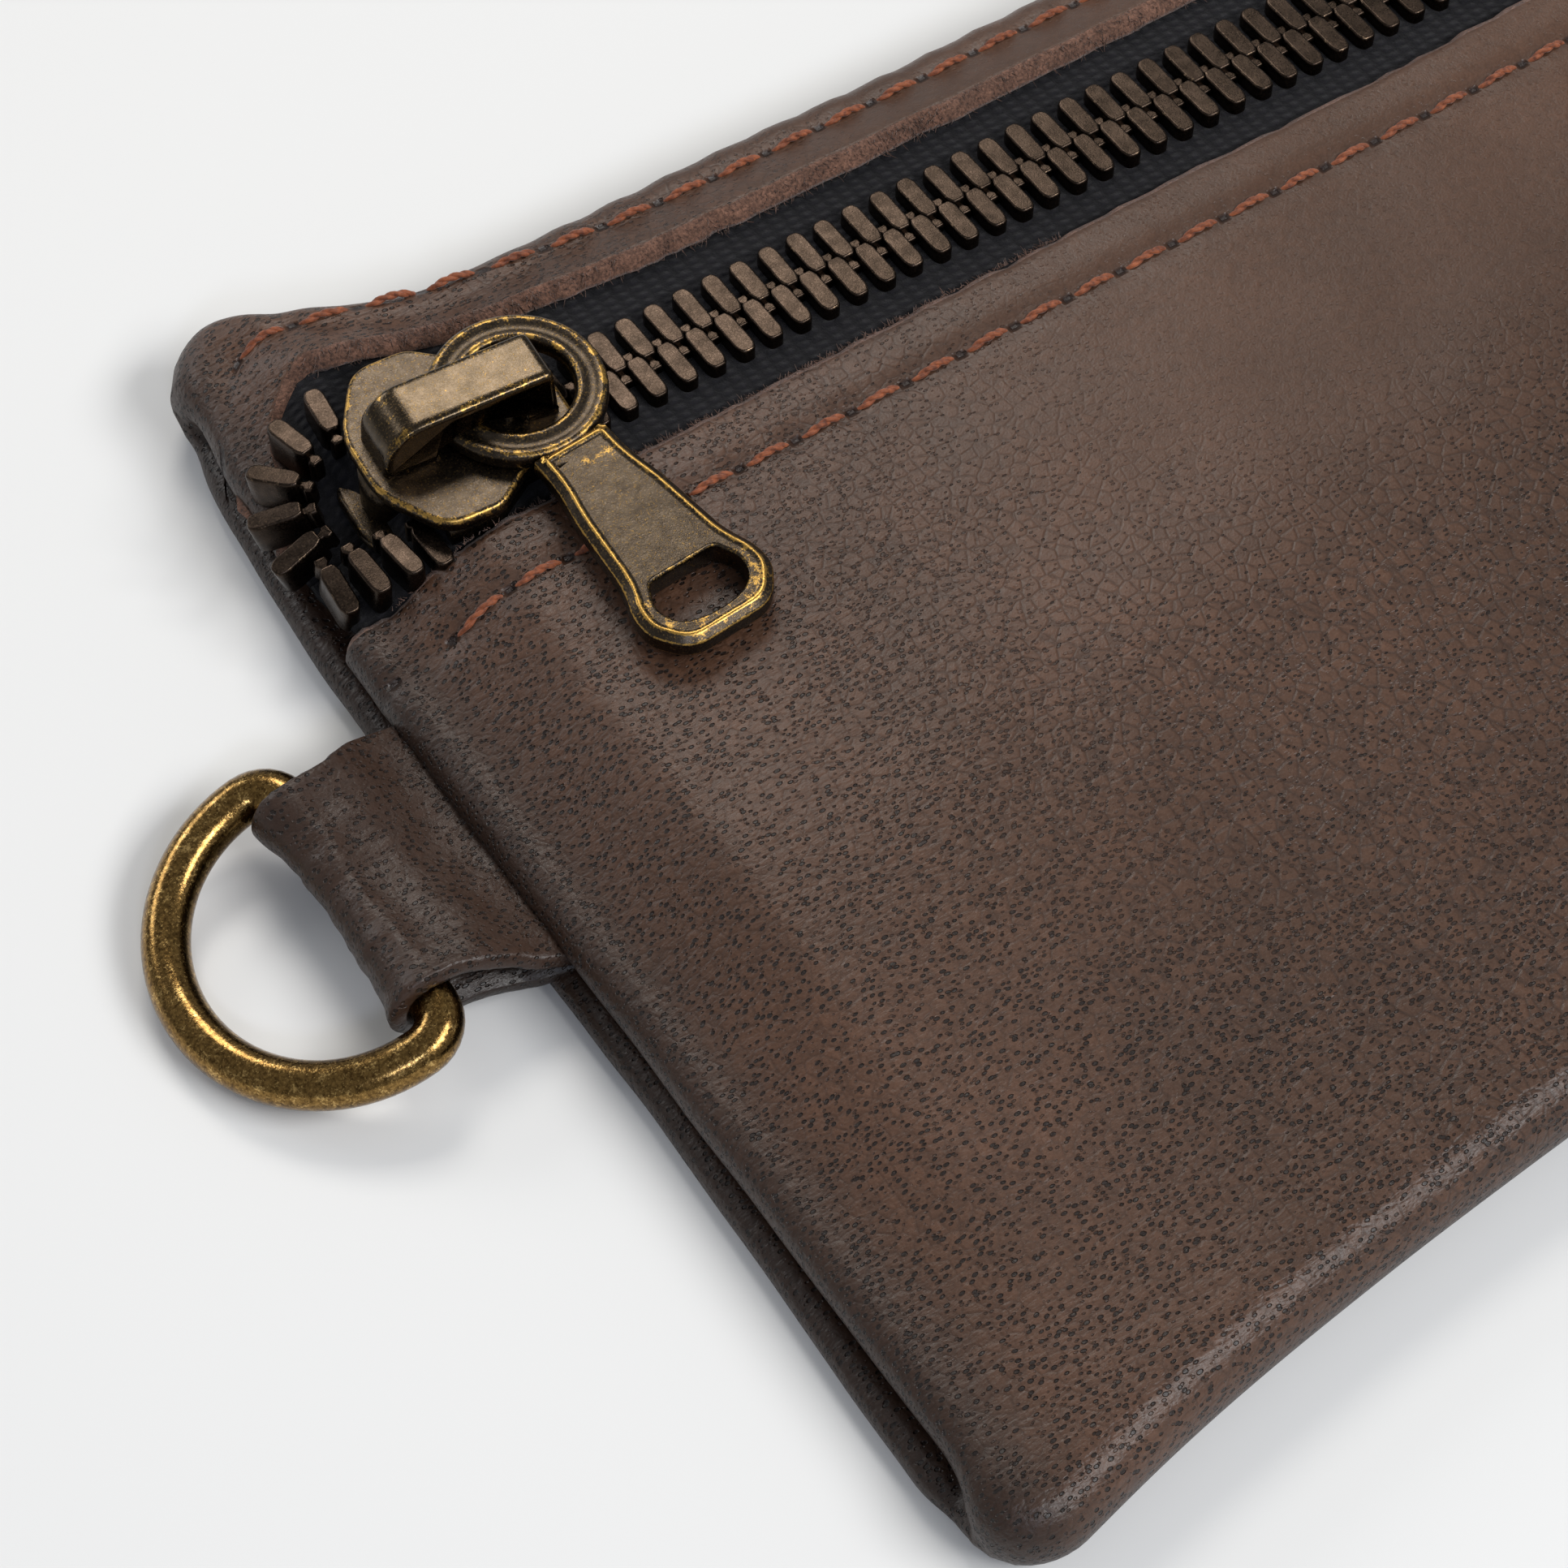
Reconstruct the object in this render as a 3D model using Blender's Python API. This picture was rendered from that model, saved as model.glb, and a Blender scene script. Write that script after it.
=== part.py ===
"""Zippered leather pouch: one wrap of soft leather, a metal zipper under the top fold, and a D-ring tab.

X runs along the zipper, with the D-ring at -X. Y runs from the bottom fold to the top fold, and Z is up.
The origin is the middle of the flat back, which the pouch lies on. Sizes are millimetres, and they are
turned to metres only where a mesh is made.
"""

import math

import bmesh
import bpy
from mathutils import Matrix, Vector

MM = 0.001
GAP = 0.3  # room between two solids that touch or slide

# Leather wrap
LEATHER = 1.3  # thickness of the hide
HALF_LENGTH = 102.8  # from the middle to the outside of a side seam's rolls
EDGE_HEIGHT = 7.0  # two rolled layers, at the side seams
BULGE = 4.0  # how far the zipper holds the front above the edges
SIDE_EASE = 9.25  # the front comes up to its full height within this distance of a side seam
TOP_FOLD_Y, BOTTOM_FOLD_Y = 52.5, -48.5  # folds at mid-length, where the puffed pouch is narrowest
TOP_EAR, BOTTOM_EAR = 6.0, 7.5  # how much further the folds reach at the corners
STRIP_BOW, BOW_START = 5.5, 50.0  # the strip above the zipper bows outwards near the ends
ROLL_REACH = 1.75  # how far the side seam's rolls stand out from its groove
SEAM_WALL = 3.25  # from the groove's rim in to the cavity's rim
CAVITY_FLOOR_CUT = 3.8  # the window's cutter stops above the back panel's roll

# Zipper
ZIP_Y = 35.0
WINDOW_UPPER, WINDOW_LOWER = 9.0, 8.0  # from the zipper's middle to the strip's and the front's raw edge
WINDOW_END = 100.1  # the window stops short of the side seams, with rounded upper corners
TAPE_Z, TAPE_THICKNESS = 9.15, 0.5
TAPE_REACH, TAPE_END = 13.8, 98.0
PITCH = 2.5
TOOTH_THICKNESS, TOOTH_HEIGHT = 1.15, 3.0
TOOTH_OUTER, TOOTH_NECK, TOOTH_TIP = 3.85, 0.25, -1.3  # distances from the zipper's middle
HEAD_THICKNESS = 0.75
FIRST_TOOTH_X, LAST_TOOTH_X = -84.0, 95.0

# Slider, with its nose towards -X
NOSE_X, REAR_X = -95.2, -79.3
PLATE = 1.1
TOP_PLATE_Z = 11.25  # underside of the top plate
BOTTOM_PLATE_Z = 6.25
WING_HALF, REAR_HALF = 7.8, 5.1
FLANGE = 0.9
CROWN_WIDTH, CROWN_TOP = 4.3, 16.4
TUNNEL_X, TUNNEL_TOP = (-91.4, -83.0), 15.5
PAWL_WIDTH, PAWL_THICKNESS, PAWL_Z = 2.4, 0.3, 14.8

# Pull
RING_X, RING_Z = -82.5, 13.55
RING_OUTER, RING_INNER, RING_THICKNESS = 6.5, 4.1, 1.6
PADDLE_THICKNESS = 1.8
PULL_SLOPE, PULL_TURN = math.radians(2.5), math.radians(3.0)

# D-ring and tab
WIRE = 3.4
RING_WIDTH = 22.4  # between the middles of the wire's two sides
RING_DEPTH = 13.2  # from the bar to the middle of the arc
BAR_X, BAR_Z, TAB_Y = -111.5, 5.0, 9.0
BEND = 2.5
TAB_END_HALF, TAB_ROOT_HALF = 9.0, 11.35
TAB_ROOT_X, TAB_ROOT_THICKNESS = -99.9, 2.4

# Thread
THREAD_RADIUS = 0.22
FRONT_STITCH_Y, STRIP_STITCH_Y = 22.3, 47.8


def clear_scene():
    for old in list(bpy.data.objects):
        bpy.data.objects.remove(old, do_unlink=True)


def finish_material(name, colour, roughness, metallic=0.0):
    material = bpy.data.materials.new(name)
    material.use_nodes = True
    shader = material.node_tree.nodes["Principled BSDF"]
    shader.inputs["Base Color"].default_value = (*colour, 1.0)
    shader.inputs["Roughness"].default_value = roughness
    shader.inputs["Metallic"].default_value = metallic
    return material


def smooth_step(low, high, value):
    t = min(1.0, max(0.0, (value - low) / (high - low)))
    return t * t * (3.0 - 2.0 * t)


def solid(name, points, faces, material=None, origin=(0.0, 0.0, 0.0)):
    """A mesh object from points in millimetres, with its origin at `origin` and its faces turned outwards."""
    mesh = bpy.data.meshes.new(name)
    start = Vector(origin)
    mesh.from_pydata([(Vector(point) - start) * MM for point in points], [], faces)
    shape = bmesh.new()
    shape.from_mesh(mesh)
    bmesh.ops.recalc_face_normals(shape, faces=shape.faces)
    shape.to_mesh(mesh)
    shape.free()
    if material:
        mesh.materials.append(material)
    made = bpy.data.objects.new(name, mesh)
    made.location = start * MM
    bpy.context.scene.collection.objects.link(made)
    return made


def prism(name, outline, low, high, place, material=None, origin=(0.0, 0.0, 0.0)):
    """An outline extruded from low to high. `place` turns (u, v, level) into a point."""
    count = len(outline)
    points = [place(u, v, level) for level in (low, high) for u, v in outline]
    faces = [tuple(range(count)), tuple(range(2 * count - 1, count - 1, -1))]
    for i in range(count):
        j = (i + 1) % count
        faces.append((i, j, count + j, count + i))
    return solid(name, points, faces, material, origin)


def flat(u, v, level):
    """An outline that lies in the XY plane, extruded along Z."""
    return (u, v, level)


def upright(u, v, level):
    """An outline that stands in the XZ plane, extruded along Y."""
    return (u, level, v)


def box(name, low, high):
    corners = [(low[0], low[1]), (high[0], low[1]), (high[0], high[1]), (low[0], high[1])]
    return prism(name, corners, low[2], high[2], flat)


def arc(centre, radius, start, end, steps):
    """Points along an arc, with its angles in degrees."""
    angles = [math.radians(start + (end - start) * i / steps) for i in range(steps + 1)]
    return [(centre[0] + radius * math.cos(a), centre[1] + radius * math.sin(a)) for a in angles]


def combine(target, tool, operation):
    """Cuts or joins with a hidden tool object, and leaves the modifier on the piece."""
    step = target.modifiers.new(tool.name, "BOOLEAN")
    step.operation = operation
    step.solver = "EXACT"
    step.object = tool
    tool.hide_render = True
    tool.display_type = "WIRE"


def round_shading(made):
    made.data.shade_smooth()
    made.data.set_sharp_from_angle(angle=math.radians(35))


# The leather's outer face


def side_rise(x):
    """0 at a side seam, 1 where the front has its full height."""
    rim = HALF_LENGTH - ROLL_REACH
    return 1.0 - smooth_step(rim - SIDE_EASE, rim, abs(x))


def top_fold(x):
    return TOP_FOLD_Y + TOP_EAR * smooth_step(78.0, 99.0, abs(x))


def strip_bow(x):
    return STRIP_BOW * (max(0.0, min(abs(x), 93.0) - BOW_START) / 43.0) ** 2.6


def bottom_fold(x):
    return BOTTOM_FOLD_Y - BOTTOM_EAR * (min(abs(x), HALF_LENGTH) / HALF_LENGTH) ** 3


def fold_height(x, upper):
    """Height of the outer face where a fold starts to turn down."""
    return EDGE_HEIGHT + BULGE * side_rise(x) * (0.55 if upper else 0.15)


def rim_y(x, upper):
    half = fold_height(x, upper) / 2.0
    return top_fold(x) - half if upper else bottom_fold(x) + half


def front_height(x, y):
    low, high = rim_y(x, False), rim_y(x, True)
    rise = 0.15 + 0.85 * smooth_step(low, low + 50.0, y)
    fall = 0.55 + 0.45 * smooth_step(0.0, 7.0, high - y)
    return EDGE_HEIGHT + BULGE * side_rise(x) * min(rise, fall)


def wall_offset(angle, height, inset, side):
    """How far a wall stands out of its rim, and its height there. `side` is 1 on a grooved side seam."""
    half = height / 2.0 - inset
    fold_out, fold_z = math.sin(angle), height / 2.0 + half * math.cos(angle)
    if side == 0.0:
        return fold_out, fold_z
    lower = angle > math.pi / 2.0
    turn = 2.0 * angle - (math.pi if lower else 0.0)
    roll_z = height / 4.0 * (1.0 + math.cos(turn)) + (0.0 if lower else height / 2.0)
    return fold_out + side * (abs(math.sin(turn)) - fold_out), fold_z + side * (roll_z - fold_z)


def pouch_shape(name, inset, rim_x, side_reach, grooved, columns, rows, wall_steps, material=None):
    """A closed cushion of the leather's outer face, or of the cavity `inset` inside it."""
    xs = [rim_x * math.sin(math.pi / 2.0 * (2.0 * i / columns - 1.0)) for i in range(columns + 1)]
    points, index = [], {}

    def add(key, point):
        index[key] = len(points)
        points.append(point)

    for i, x in enumerate(xs):
        low, high = rim_y(x, False), rim_y(x, True)
        for j in range(rows + 1):
            t = 0.5 - 0.5 * math.cos(math.pi * j / rows)
            y = low + (high - low) * (0.35 * j / rows + 0.65 * t)
            add(("front", i, j), (x, y, front_height(x, y) - inset))
            add(("back", i, j), (x, y, inset))
    faces = []
    for side in ("front", "back"):
        for i in range(columns):
            for j in range(rows):
                corners = ((i, j), (i + 1, j), (i + 1, j + 1), (i, j + 1))
                faces.append([index[(side, *corner)] for corner in corners])
    rim = [(i, 0) for i in range(columns)] + [(columns, j) for j in range(rows)]
    rim += [(i, rows) for i in range(columns, 0, -1)] + [(0, j) for j in range(rows, 0, -1)]
    for i, j in rim:
        x, y, top = points[index[("front", i, j)]]
        height = top + inset
        out_x = (i == columns) - (i == 0)
        out_y = (j == rows) - (j == 0)
        from_corner = min(y - rim_y(x, False), rim_y(x, True) - y)
        side = smooth_step(1.0, 7.0, from_corner) if grooved and out_x else 0.0
        for k in range(1, wall_steps):
            out, z = wall_offset(math.pi * k / wall_steps, height, inset, side)
            reach_y = (height / 2.0 - inset) * out
            add((k, i, j), (x + out_x * side_reach * out, y + out_y * reach_y, z))
    for position, (i, j) in enumerate(rim):
        n, m = rim[(position + 1) % len(rim)]
        for k in range(wall_steps):
            upper = "front" if k == 0 else k
            lower = "back" if k + 1 == wall_steps else k + 1
            faces.append([index[(upper, i, j)], index[(upper, n, m)], index[(lower, n, m)], index[(lower, i, j)]])
    return solid(name, points, faces, material)


def window_outline():
    """The two raw edges: straight along the front panel, bowed along the strip, and round at the strip's ends."""
    level, corner = ZIP_Y + WINDOW_UPPER, 92.0
    strip = [(x, level + strip_bow(x)) for x in range(-88, 89, 8)]
    drop = strip_bow(corner) + WINDOW_UPPER - 5.0
    right = arc((0.0, 0.0), 1.0, 90.0, 0.0, 6)
    right = [(corner + (WINDOW_END - corner) * u, ZIP_Y + 5.0 + drop * v) for u, v in right]
    left = [(-x, y) for x, y in reversed(right)]
    return left + strip + right + [(WINDOW_END, ZIP_Y - WINDOW_LOWER), (-WINDOW_END, ZIP_Y - WINDOW_LOWER)]


def leather_wrap(leather):
    """Front, bottom fold, back, top fold and strip in one piece, open at the zipper's window."""
    groove_x = HALF_LENGTH - ROLL_REACH
    body = pouch_shape("leather_body", 0.0, groove_x, ROLL_REACH, True, 26, 16, 12, leather)
    cavity_reach = EDGE_HEIGHT / 2.0 - LEATHER
    cavity = pouch_shape("cavity_cutter", LEATHER, groove_x - SEAM_WALL, cavity_reach, False, 22, 12, 6)
    window = prism("window_cutter", window_outline(), CAVITY_FLOOR_CUT, 30.0, flat)
    slit_half = TAB_ROOT_THICKNESS / 2.0 + GAP
    slit = box(
        "tab_slit_cutter",
        (-HALF_LENGTH - 3.0, TAB_Y - TAB_ROOT_HALF - GAP, EDGE_HEIGHT / 2.0 - slit_half),
        (-groove_x + SEAM_WALL / 2.0, TAB_Y + TAB_ROOT_HALF + GAP, EDGE_HEIGHT / 2.0 + slit_half),
    )
    for cutter in (cavity, window, slit):
        combine(body, cutter, "DIFFERENCE")
    round_shading(body)


# Zipper


def tape_height(x, y):
    """The tape hangs from the leather's inner face, and lies level where the slider holds it."""
    ceiling = front_height(x, y) - LEATHER - GAP - TAPE_THICKNESS / 2.0
    hanging = min(TAPE_Z, ceiling)
    held = 1.0 - smooth_step(5.2, 7.8, abs(y - ZIP_Y))
    held *= 1.0 - smooth_step(95.2, 98.5, abs(x))
    return hanging + (TAPE_Z - hanging) * held


def tape(name, side, open_reach, fabric):
    """One woven tape. It is cut back round the open teeth at the nose end, and ends inside the side seams."""
    stations = [-TAPE_END, -96.0, -94.5, -93.1, -92.9, -88.0, -80.0, -70.0, -60.0]
    stations += [-40.0 + 20.0 * i for i in range(5)] + [60.0, 70.0, 80.0, 88.0, 92.0, 94.5, 96.0, TAPE_END]
    across = 6
    points = []
    for level in (-0.5, 0.5):
        for x in stations:
            inner = open_reach if x < -93.0 else TOOTH_OUTER + GAP
            outer = TAPE_REACH
            if side > 0.0:
                outer = min(TAPE_REACH + strip_bow(x), rim_y(x, True) - 0.4 - ZIP_Y)
            for j in range(across + 1):
                y = ZIP_Y + side * (inner + (outer - inner) * j / across)
                points.append((x, y, tape_height(x, y) + level * TAPE_THICKNESS))
    row, layer = across + 1, len(stations) * (across + 1)
    faces = []
    for i in range(len(stations) - 1):
        for j in range(across):
            a = i * row + j
            quad = (a, a + 1, a + row + 1, a + row)
            faces += [quad, tuple(layer + corner for corner in quad)]
    border = [i * row for i in range(len(stations))] + [(len(stations) - 1) * row + j for j in range(1, row)]
    border += [i * row + across for i in range(len(stations) - 2, -1, -1)] + list(range(across - 1, 0, -1))
    for i, a in enumerate(border):
        b = border[(i + 1) % len(border)]
        faces.append((a, b, layer + b, layer + a))
    solid(name, points, faces, fabric)


def tooth_outline():
    """A tooth from above: a wide body, a narrow neck and head."""
    body, head = TOOTH_THICKNESS / 2.0, HEAD_THICKNESS / 2.0
    return [
        (-body, TOOTH_OUTER),
        (-body, TOOTH_NECK),
        (-head, TOOTH_NECK - 0.2),
        (-head, TOOTH_TIP),
        (head, TOOTH_TIP),
        (head, TOOTH_NECK - 0.2),
        (body, TOOTH_NECK),
        (body, TOOTH_OUTER),
    ]


def teeth_row(name, side, shift, brass):
    """One row of closed teeth, joined by the cord that they are clenched on."""
    outline = tooth_outline()
    count = len(outline)
    points, faces = [], []
    x = FIRST_TOOTH_X + shift
    while x <= LAST_TOOTH_X:
        start = len(points)
        for level in (-0.5, 0.5):
            points += [(x + u, ZIP_Y + side * v, TAPE_Z + level * TOOTH_HEIGHT) for u, v in outline]
        faces.append(tuple(start + i for i in range(count)))
        faces.append(tuple(start + 2 * count - 1 - i for i in range(count)))
        for i in range(count):
            j = (i + 1) % count
            faces.append((start + i, start + j, start + count + j, start + count + i))
        x += PITCH
    row = solid(name, points, faces, brass)
    cord_near, cord_far = ZIP_Y + side * (TOOTH_OUTER - 1.1), ZIP_Y + side * (TOOTH_OUTER - 0.4)
    cord = box(
        name + "_cord",
        (FIRST_TOOTH_X + shift, min(cord_near, cord_far), TAPE_Z - 0.4),
        (x - PITCH, max(cord_near, cord_far), TAPE_Z + 0.4),
    )
    combine(row, cord, "UNION")


def end_tooth(name, tip, heading, brass):
    """A single open tooth. Its head is at `tip`, and its body points along `heading`."""
    outline = [(u, v - TOOTH_TIP) for u, v in tooth_outline()]
    made = prism(name, outline, -TOOTH_HEIGHT / 2.0, TOOTH_HEIGHT / 2.0, flat, brass)
    turn = Matrix.Rotation(math.radians(heading - 90.0), 4, "Z")
    made.matrix_world = Matrix.Translation(Vector(tip) * MM) @ turn


def open_teeth(brass):
    """Nine open teeth in a U round the slider's nose, where the tapes run down into the side seam."""
    upper = [(-94.7, 39.3, 82.0), (-96.3, 39.2, 104.0), (-96.6, 38.4, 127.0), (-96.4, 37.0, 152.0)]
    upper += [(-96.2, 35.6, 177.0)]
    lower = [(-94.0, 32.4, 270.0), (-95.75, 32.4, 270.0), (-97.5, 32.5, 270.0), (-99.2, 32.8, 270.0)]
    for word, row in (("upper", upper), ("lower", lower)):
        for i, (x, y, heading) in enumerate(row):
            end_tooth(f"end_tooth_{word}_{i + 1}", (x, y, TAPE_Z - 0.1), heading, brass)


# Slider


def plate_outline(wing, rear, nose):
    """Half-symmetric shield: a round nose, two wings, and a narrower rear as wide as the closed chain."""
    upper = [
        (REAR_X, rear - 0.8),
        (REAR_X - 0.8, rear),
        (-87.0, rear + 0.1),
        (-88.3, wing - 0.4),
        (-88.8, wing),
        (-91.9, wing),
        (-92.9, wing - 0.8),
        (nose + 0.9, 3.6),
        (nose + 0.2, 1.9),
    ]
    lower = [(x, -y) for x, y in reversed(upper)]
    return [(x, ZIP_Y + y) for x, y in upper + lower]


def flange_outline(side, wing):
    """A wall along the slider's edge, which keeps the teeth in and follows the plate out to the wing."""
    outer = [(REAR_X + 0.3, REAR_HALF), (-87.2, REAR_HALF), (-88.9, wing), (-91.9, wing)]
    inner = [(x, y - FLANGE) for x, y in reversed(outer)]
    return [(x, ZIP_Y + side * y) for x, y in outer + inner]


def slider(brass):
    """Two plates joined by the dividing post, with flanges that leave a slit for the tape."""
    body = prism(
        "slider_body", plate_outline(WING_HALF, REAR_HALF, NOSE_X), TOP_PLATE_Z, TOP_PLATE_Z + PLATE, flat, brass
    )
    bottom_top = BOTTOM_PLATE_Z + PLATE
    bottom = prism(
        "bottom_plate", plate_outline(WING_HALF - 0.6, REAR_HALF, NOSE_X - 0.9), BOTTOM_PLATE_Z, bottom_top, flat
    )
    post = arc((-93.1, ZIP_Y), 1.8, 90.0, 270.0, 8) + [(-90.6, ZIP_Y - 1.3), (-88.2, ZIP_Y), (-90.6, ZIP_Y + 1.3)]
    post = prism("dividing_post", post, bottom_top - 0.4, TOP_PLATE_Z + 0.4, flat)
    joined = [post, bottom]
    slit = TAPE_THICKNESS / 2.0 + GAP
    for side, word in ((1.0, "upper"), (-1.0, "lower")):
        outline = flange_outline(side, WING_HALF - 0.1)
        joined.append(prism(f"top_flange_{word}", outline, TAPE_Z + slit, TOP_PLATE_Z + 0.4, flat))
        outline = flange_outline(side, WING_HALF - 0.8)
        joined.append(prism(f"bottom_flange_{word}", outline, bottom_top - 0.4, TAPE_Z - slit, flat))
    for piece in joined:
        combine(body, piece, "UNION")
    hole_half = PAWL_WIDTH / 2.0 + GAP
    hole = box(
        "pawl_hole", (-85.0, ZIP_Y - hole_half, TOP_PLATE_Z - 1.0), (-83.1, ZIP_Y + hole_half, TOP_PLATE_Z + 3.0)
    )
    combine(body, hole, "DIFFERENCE")


def crown(brass):
    """The bridge over the slider: a bar with a rounded nose on two legs, with a tunnel for the pull's ring."""
    base = TOP_PLATE_Z + PLATE + GAP
    outline = [(NOSE_X + 0.3, base), (NOSE_X + 0.4, CROWN_TOP - 2.0)]
    outline += arc((NOSE_X + 2.4, CROWN_TOP - 2.0), 2.0, 172.0, 90.0, 6)
    outline += arc((-81.2, CROWN_TOP - 0.7), 0.7, 90.0, 0.0, 4)
    outline += [(-80.4, base), (TUNNEL_X[1], base), (TUNNEL_X[1], TUNNEL_TOP)]
    outline += [(TUNNEL_X[0], TUNNEL_TOP), (TUNNEL_X[0], base)]
    half = CROWN_WIDTH / 2.0
    made = prism("slider_crown", outline, ZIP_Y - half, ZIP_Y + half, upright, brass)
    rounding = made.modifiers.new("rounding", "BEVEL")
    rounding.width = 0.35 * MM
    rounding.segments = 2
    rounding.limit_method = "ANGLE"
    rounding.angle_limit = math.radians(50)


def lock_pawl(steel):
    """A leaf spring under the crown. Its free end turns down through the top plate and locks between teeth."""
    front, low, high = TUNNEL_X[0] + GAP, PAWL_Z - PAWL_THICKNESS / 2.0, PAWL_Z + PAWL_THICKNESS / 2.0
    toe = TOP_PLATE_Z - 0.2
    outline = [(front, low), (front, high), (-83.6, high), (-83.6, toe), (-84.1, toe), (-84.4, low)]
    half = PAWL_WIDTH / 2.0
    prism("lock_pawl", outline, ZIP_Y - half, ZIP_Y + half, upright, steel, (front, ZIP_Y, PAWL_Z))


def pull(brass):
    """A flat ring and a flared paddle cast in one, lying towards the front panel."""
    steps, points, faces = 36, [], []
    half = RING_THICKNESS / 2.0
    section = [(RING_INNER, -half), (RING_OUTER, -half), (RING_OUTER, half), (RING_INNER, half)]
    for i in range(steps):
        angle = 2.0 * math.pi * i / steps
        points += [(r * math.cos(angle), r * math.sin(angle), z) for r, z in section]
        for k in range(4):
            m, j = (k + 1) % 4, (i + 1) % steps
            faces.append((4 * i + k, 4 * j + k, 4 * j + m, 4 * i + m))
    ring = solid("pull", points, faces, brass)
    right = [(3.1, -5.6), (3.2, -9.2), (3.8, -12.0), (4.5, -18.6), (5.3, -21.0), (5.2, -22.9), (3.6, -24.8)]
    end = [(0.0, -25.4)]
    left = [(-x, y) for x, y in reversed(right)]
    half = PADDLE_THICKNESS / 2.0
    paddle = prism("paddle", right + end + left, -half, half, flat)
    slot = [(2.7, -19.4), (3.5, -21.3), (2.4, -23.3), (-2.4, -23.3), (-3.5, -21.3), (-2.7, -19.4)]
    opening = prism("paddle_opening", slot, -2.0, 2.0, flat)
    combine(ring, paddle, "UNION")
    combine(ring, opening, "DIFFERENCE")
    place = Matrix.Translation(Vector((RING_X, ZIP_Y, RING_Z)) * MM)
    place = place @ Matrix.Rotation(PULL_SLOPE, 4, "X") @ Matrix.Rotation(PULL_TURN, 4, "Z")
    for piece in (ring, paddle, opening):
        piece.matrix_world = place
    round_shading(ring)


# D-ring and tab


def d_ring(brass):
    """Round wire bent to a D. Its straight bar lies along Y in the tab, and its arc rests on the ground."""
    half = RING_WIDTH / 2.0
    straight = RING_DEPTH - half
    centreline = arc((-BEND, half - BEND), BEND, 0.0, 90.0, 5)
    centreline += arc((-straight - 0.6, 0.0), half, 90.0, 270.0, 26)
    centreline += arc((-BEND, BEND - half), BEND, 270.0, 360.0, 5)
    centreline += [(0.0, -5.0), (0.0, 0.0), (0.0, 5.0)]
    scale = RING_DEPTH / (half + straight + 0.6)
    curve = bpy.data.curves.new("d_ring", "CURVE")
    curve.dimensions = "3D"
    spline = curve.splines.new("POLY")
    spline.points.add(len(centreline) - 1)
    for point, (x, y) in zip(spline.points, centreline):
        point.co = (x * scale * MM, y * MM, 0.0, 1.0)
    spline.use_cyclic_u = True
    curve.bevel_depth = WIRE / 2.0 * MM
    curve.bevel_resolution = 4
    curve.materials.append(brass)
    made = bpy.data.objects.new("d_ring", curve)
    bpy.context.scene.collection.objects.link(made)
    dip = math.asin((BAR_Z - WIRE / 2.0 - 0.02) / RING_DEPTH)
    place = Matrix.Translation(Vector((BAR_X, TAB_Y, BAR_Z)) * MM)
    made.matrix_world = place @ Matrix.Rotation(-dip, 4, "Y")


def tab_half(x):
    """The tab is as wide as the ring lets it be at the bar, and flares towards its root."""
    t = (x - (BAR_X + 2.5)) / (TAB_ROOT_X - 1.5 - BAR_X - 2.5)
    return TAB_END_HALF + (TAB_ROOT_HALF - TAB_END_HALF) * min(1.0, max(0.0, t))


def ring_tab(leather):
    """A leather strip folded round the bar, its two ends caught together in the side seam's slit."""
    loop = WIRE / 2.0 + 0.35 + LEATHER
    middle, half = EDGE_HEIGHT / 2.0, TAB_ROOT_THICKNESS / 2.0
    outline = [(TAB_ROOT_X, middle - half), (TAB_ROOT_X, middle + half), (-103.0, middle + half + 0.1)]
    outline += [(-105.8, BAR_Z + 1.0), (-108.6, BAR_Z + 2.4)]
    outline += arc((BAR_X, BAR_Z), loop, 62.0, 298.0, 16)
    outline += [(-108.6, BAR_Z - 2.4), (-105.8, BAR_Z - 1.6), (-103.0, middle - half - 0.1)]
    count = len(outline)
    points = [(x, TAB_Y + side * tab_half(x), z) for side in (-1.0, 1.0) for x, z in outline]
    faces = [tuple(range(count)), tuple(range(2 * count - 1, count - 1, -1))]
    faces += [(i, (i + 1) % count, count + (i + 1) % count, count + i) for i in range(count)]
    tab = solid("dring_tab", points, faces, leather)
    hole = arc((BAR_X, BAR_Z), WIRE / 2.0 + 0.35, 20.0, 340.0, 18) + [(-108.3, BAR_Z)]
    eye = prism("tab_eye_cutter", hole, TAB_Y - 14.0, TAB_Y + 14.0, upright)
    combine(tab, eye, "DIFFERENCE")
    round_shading(tab)


# Threads


def thread(name, route, colour):
    curve = bpy.data.curves.new(name, "CURVE")
    curve.dimensions = "3D"
    spline = curve.splines.new("POLY")
    spline.points.add(len(route) - 1)
    for point, place in zip(spline.points, route):
        point.co = (*(Vector(place) * MM), 1.0)
    curve.bevel_depth = THREAD_RADIUS * MM
    curve.bevel_resolution = 1
    curve.use_fill_caps = True
    curve.materials.append(colour)
    made = bpy.data.objects.new(name, curve)
    bpy.context.scene.collection.objects.link(made)


def topstitch(name, y, bow, colour):
    """Thread along a raw edge, lying on the leather from one side seam to the other."""
    lift = GAP + THREAD_RADIUS
    ends = [99.5, 98.0, 96.5, 95.0, 93.5, 92.0]
    xs = [-x for x in ends] + [-85.0 + 17.0 * i for i in range(11)] + ends[::-1]
    route = [(x, y + bow * strip_bow(x)) for x in xs]
    thread(name, [(x, y, front_height(x, y) + lift) for x, y in route], colour)


def side_seam_thread(name, side, colour):
    """Thread of the side seam, inside the pouch along the seam."""
    x = side * (HALF_LENGTH - 3.55)
    thread(name, [(x, y, EDGE_HEIGHT / 2.0) for y in range(-49, 50, 7)], colour)


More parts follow.
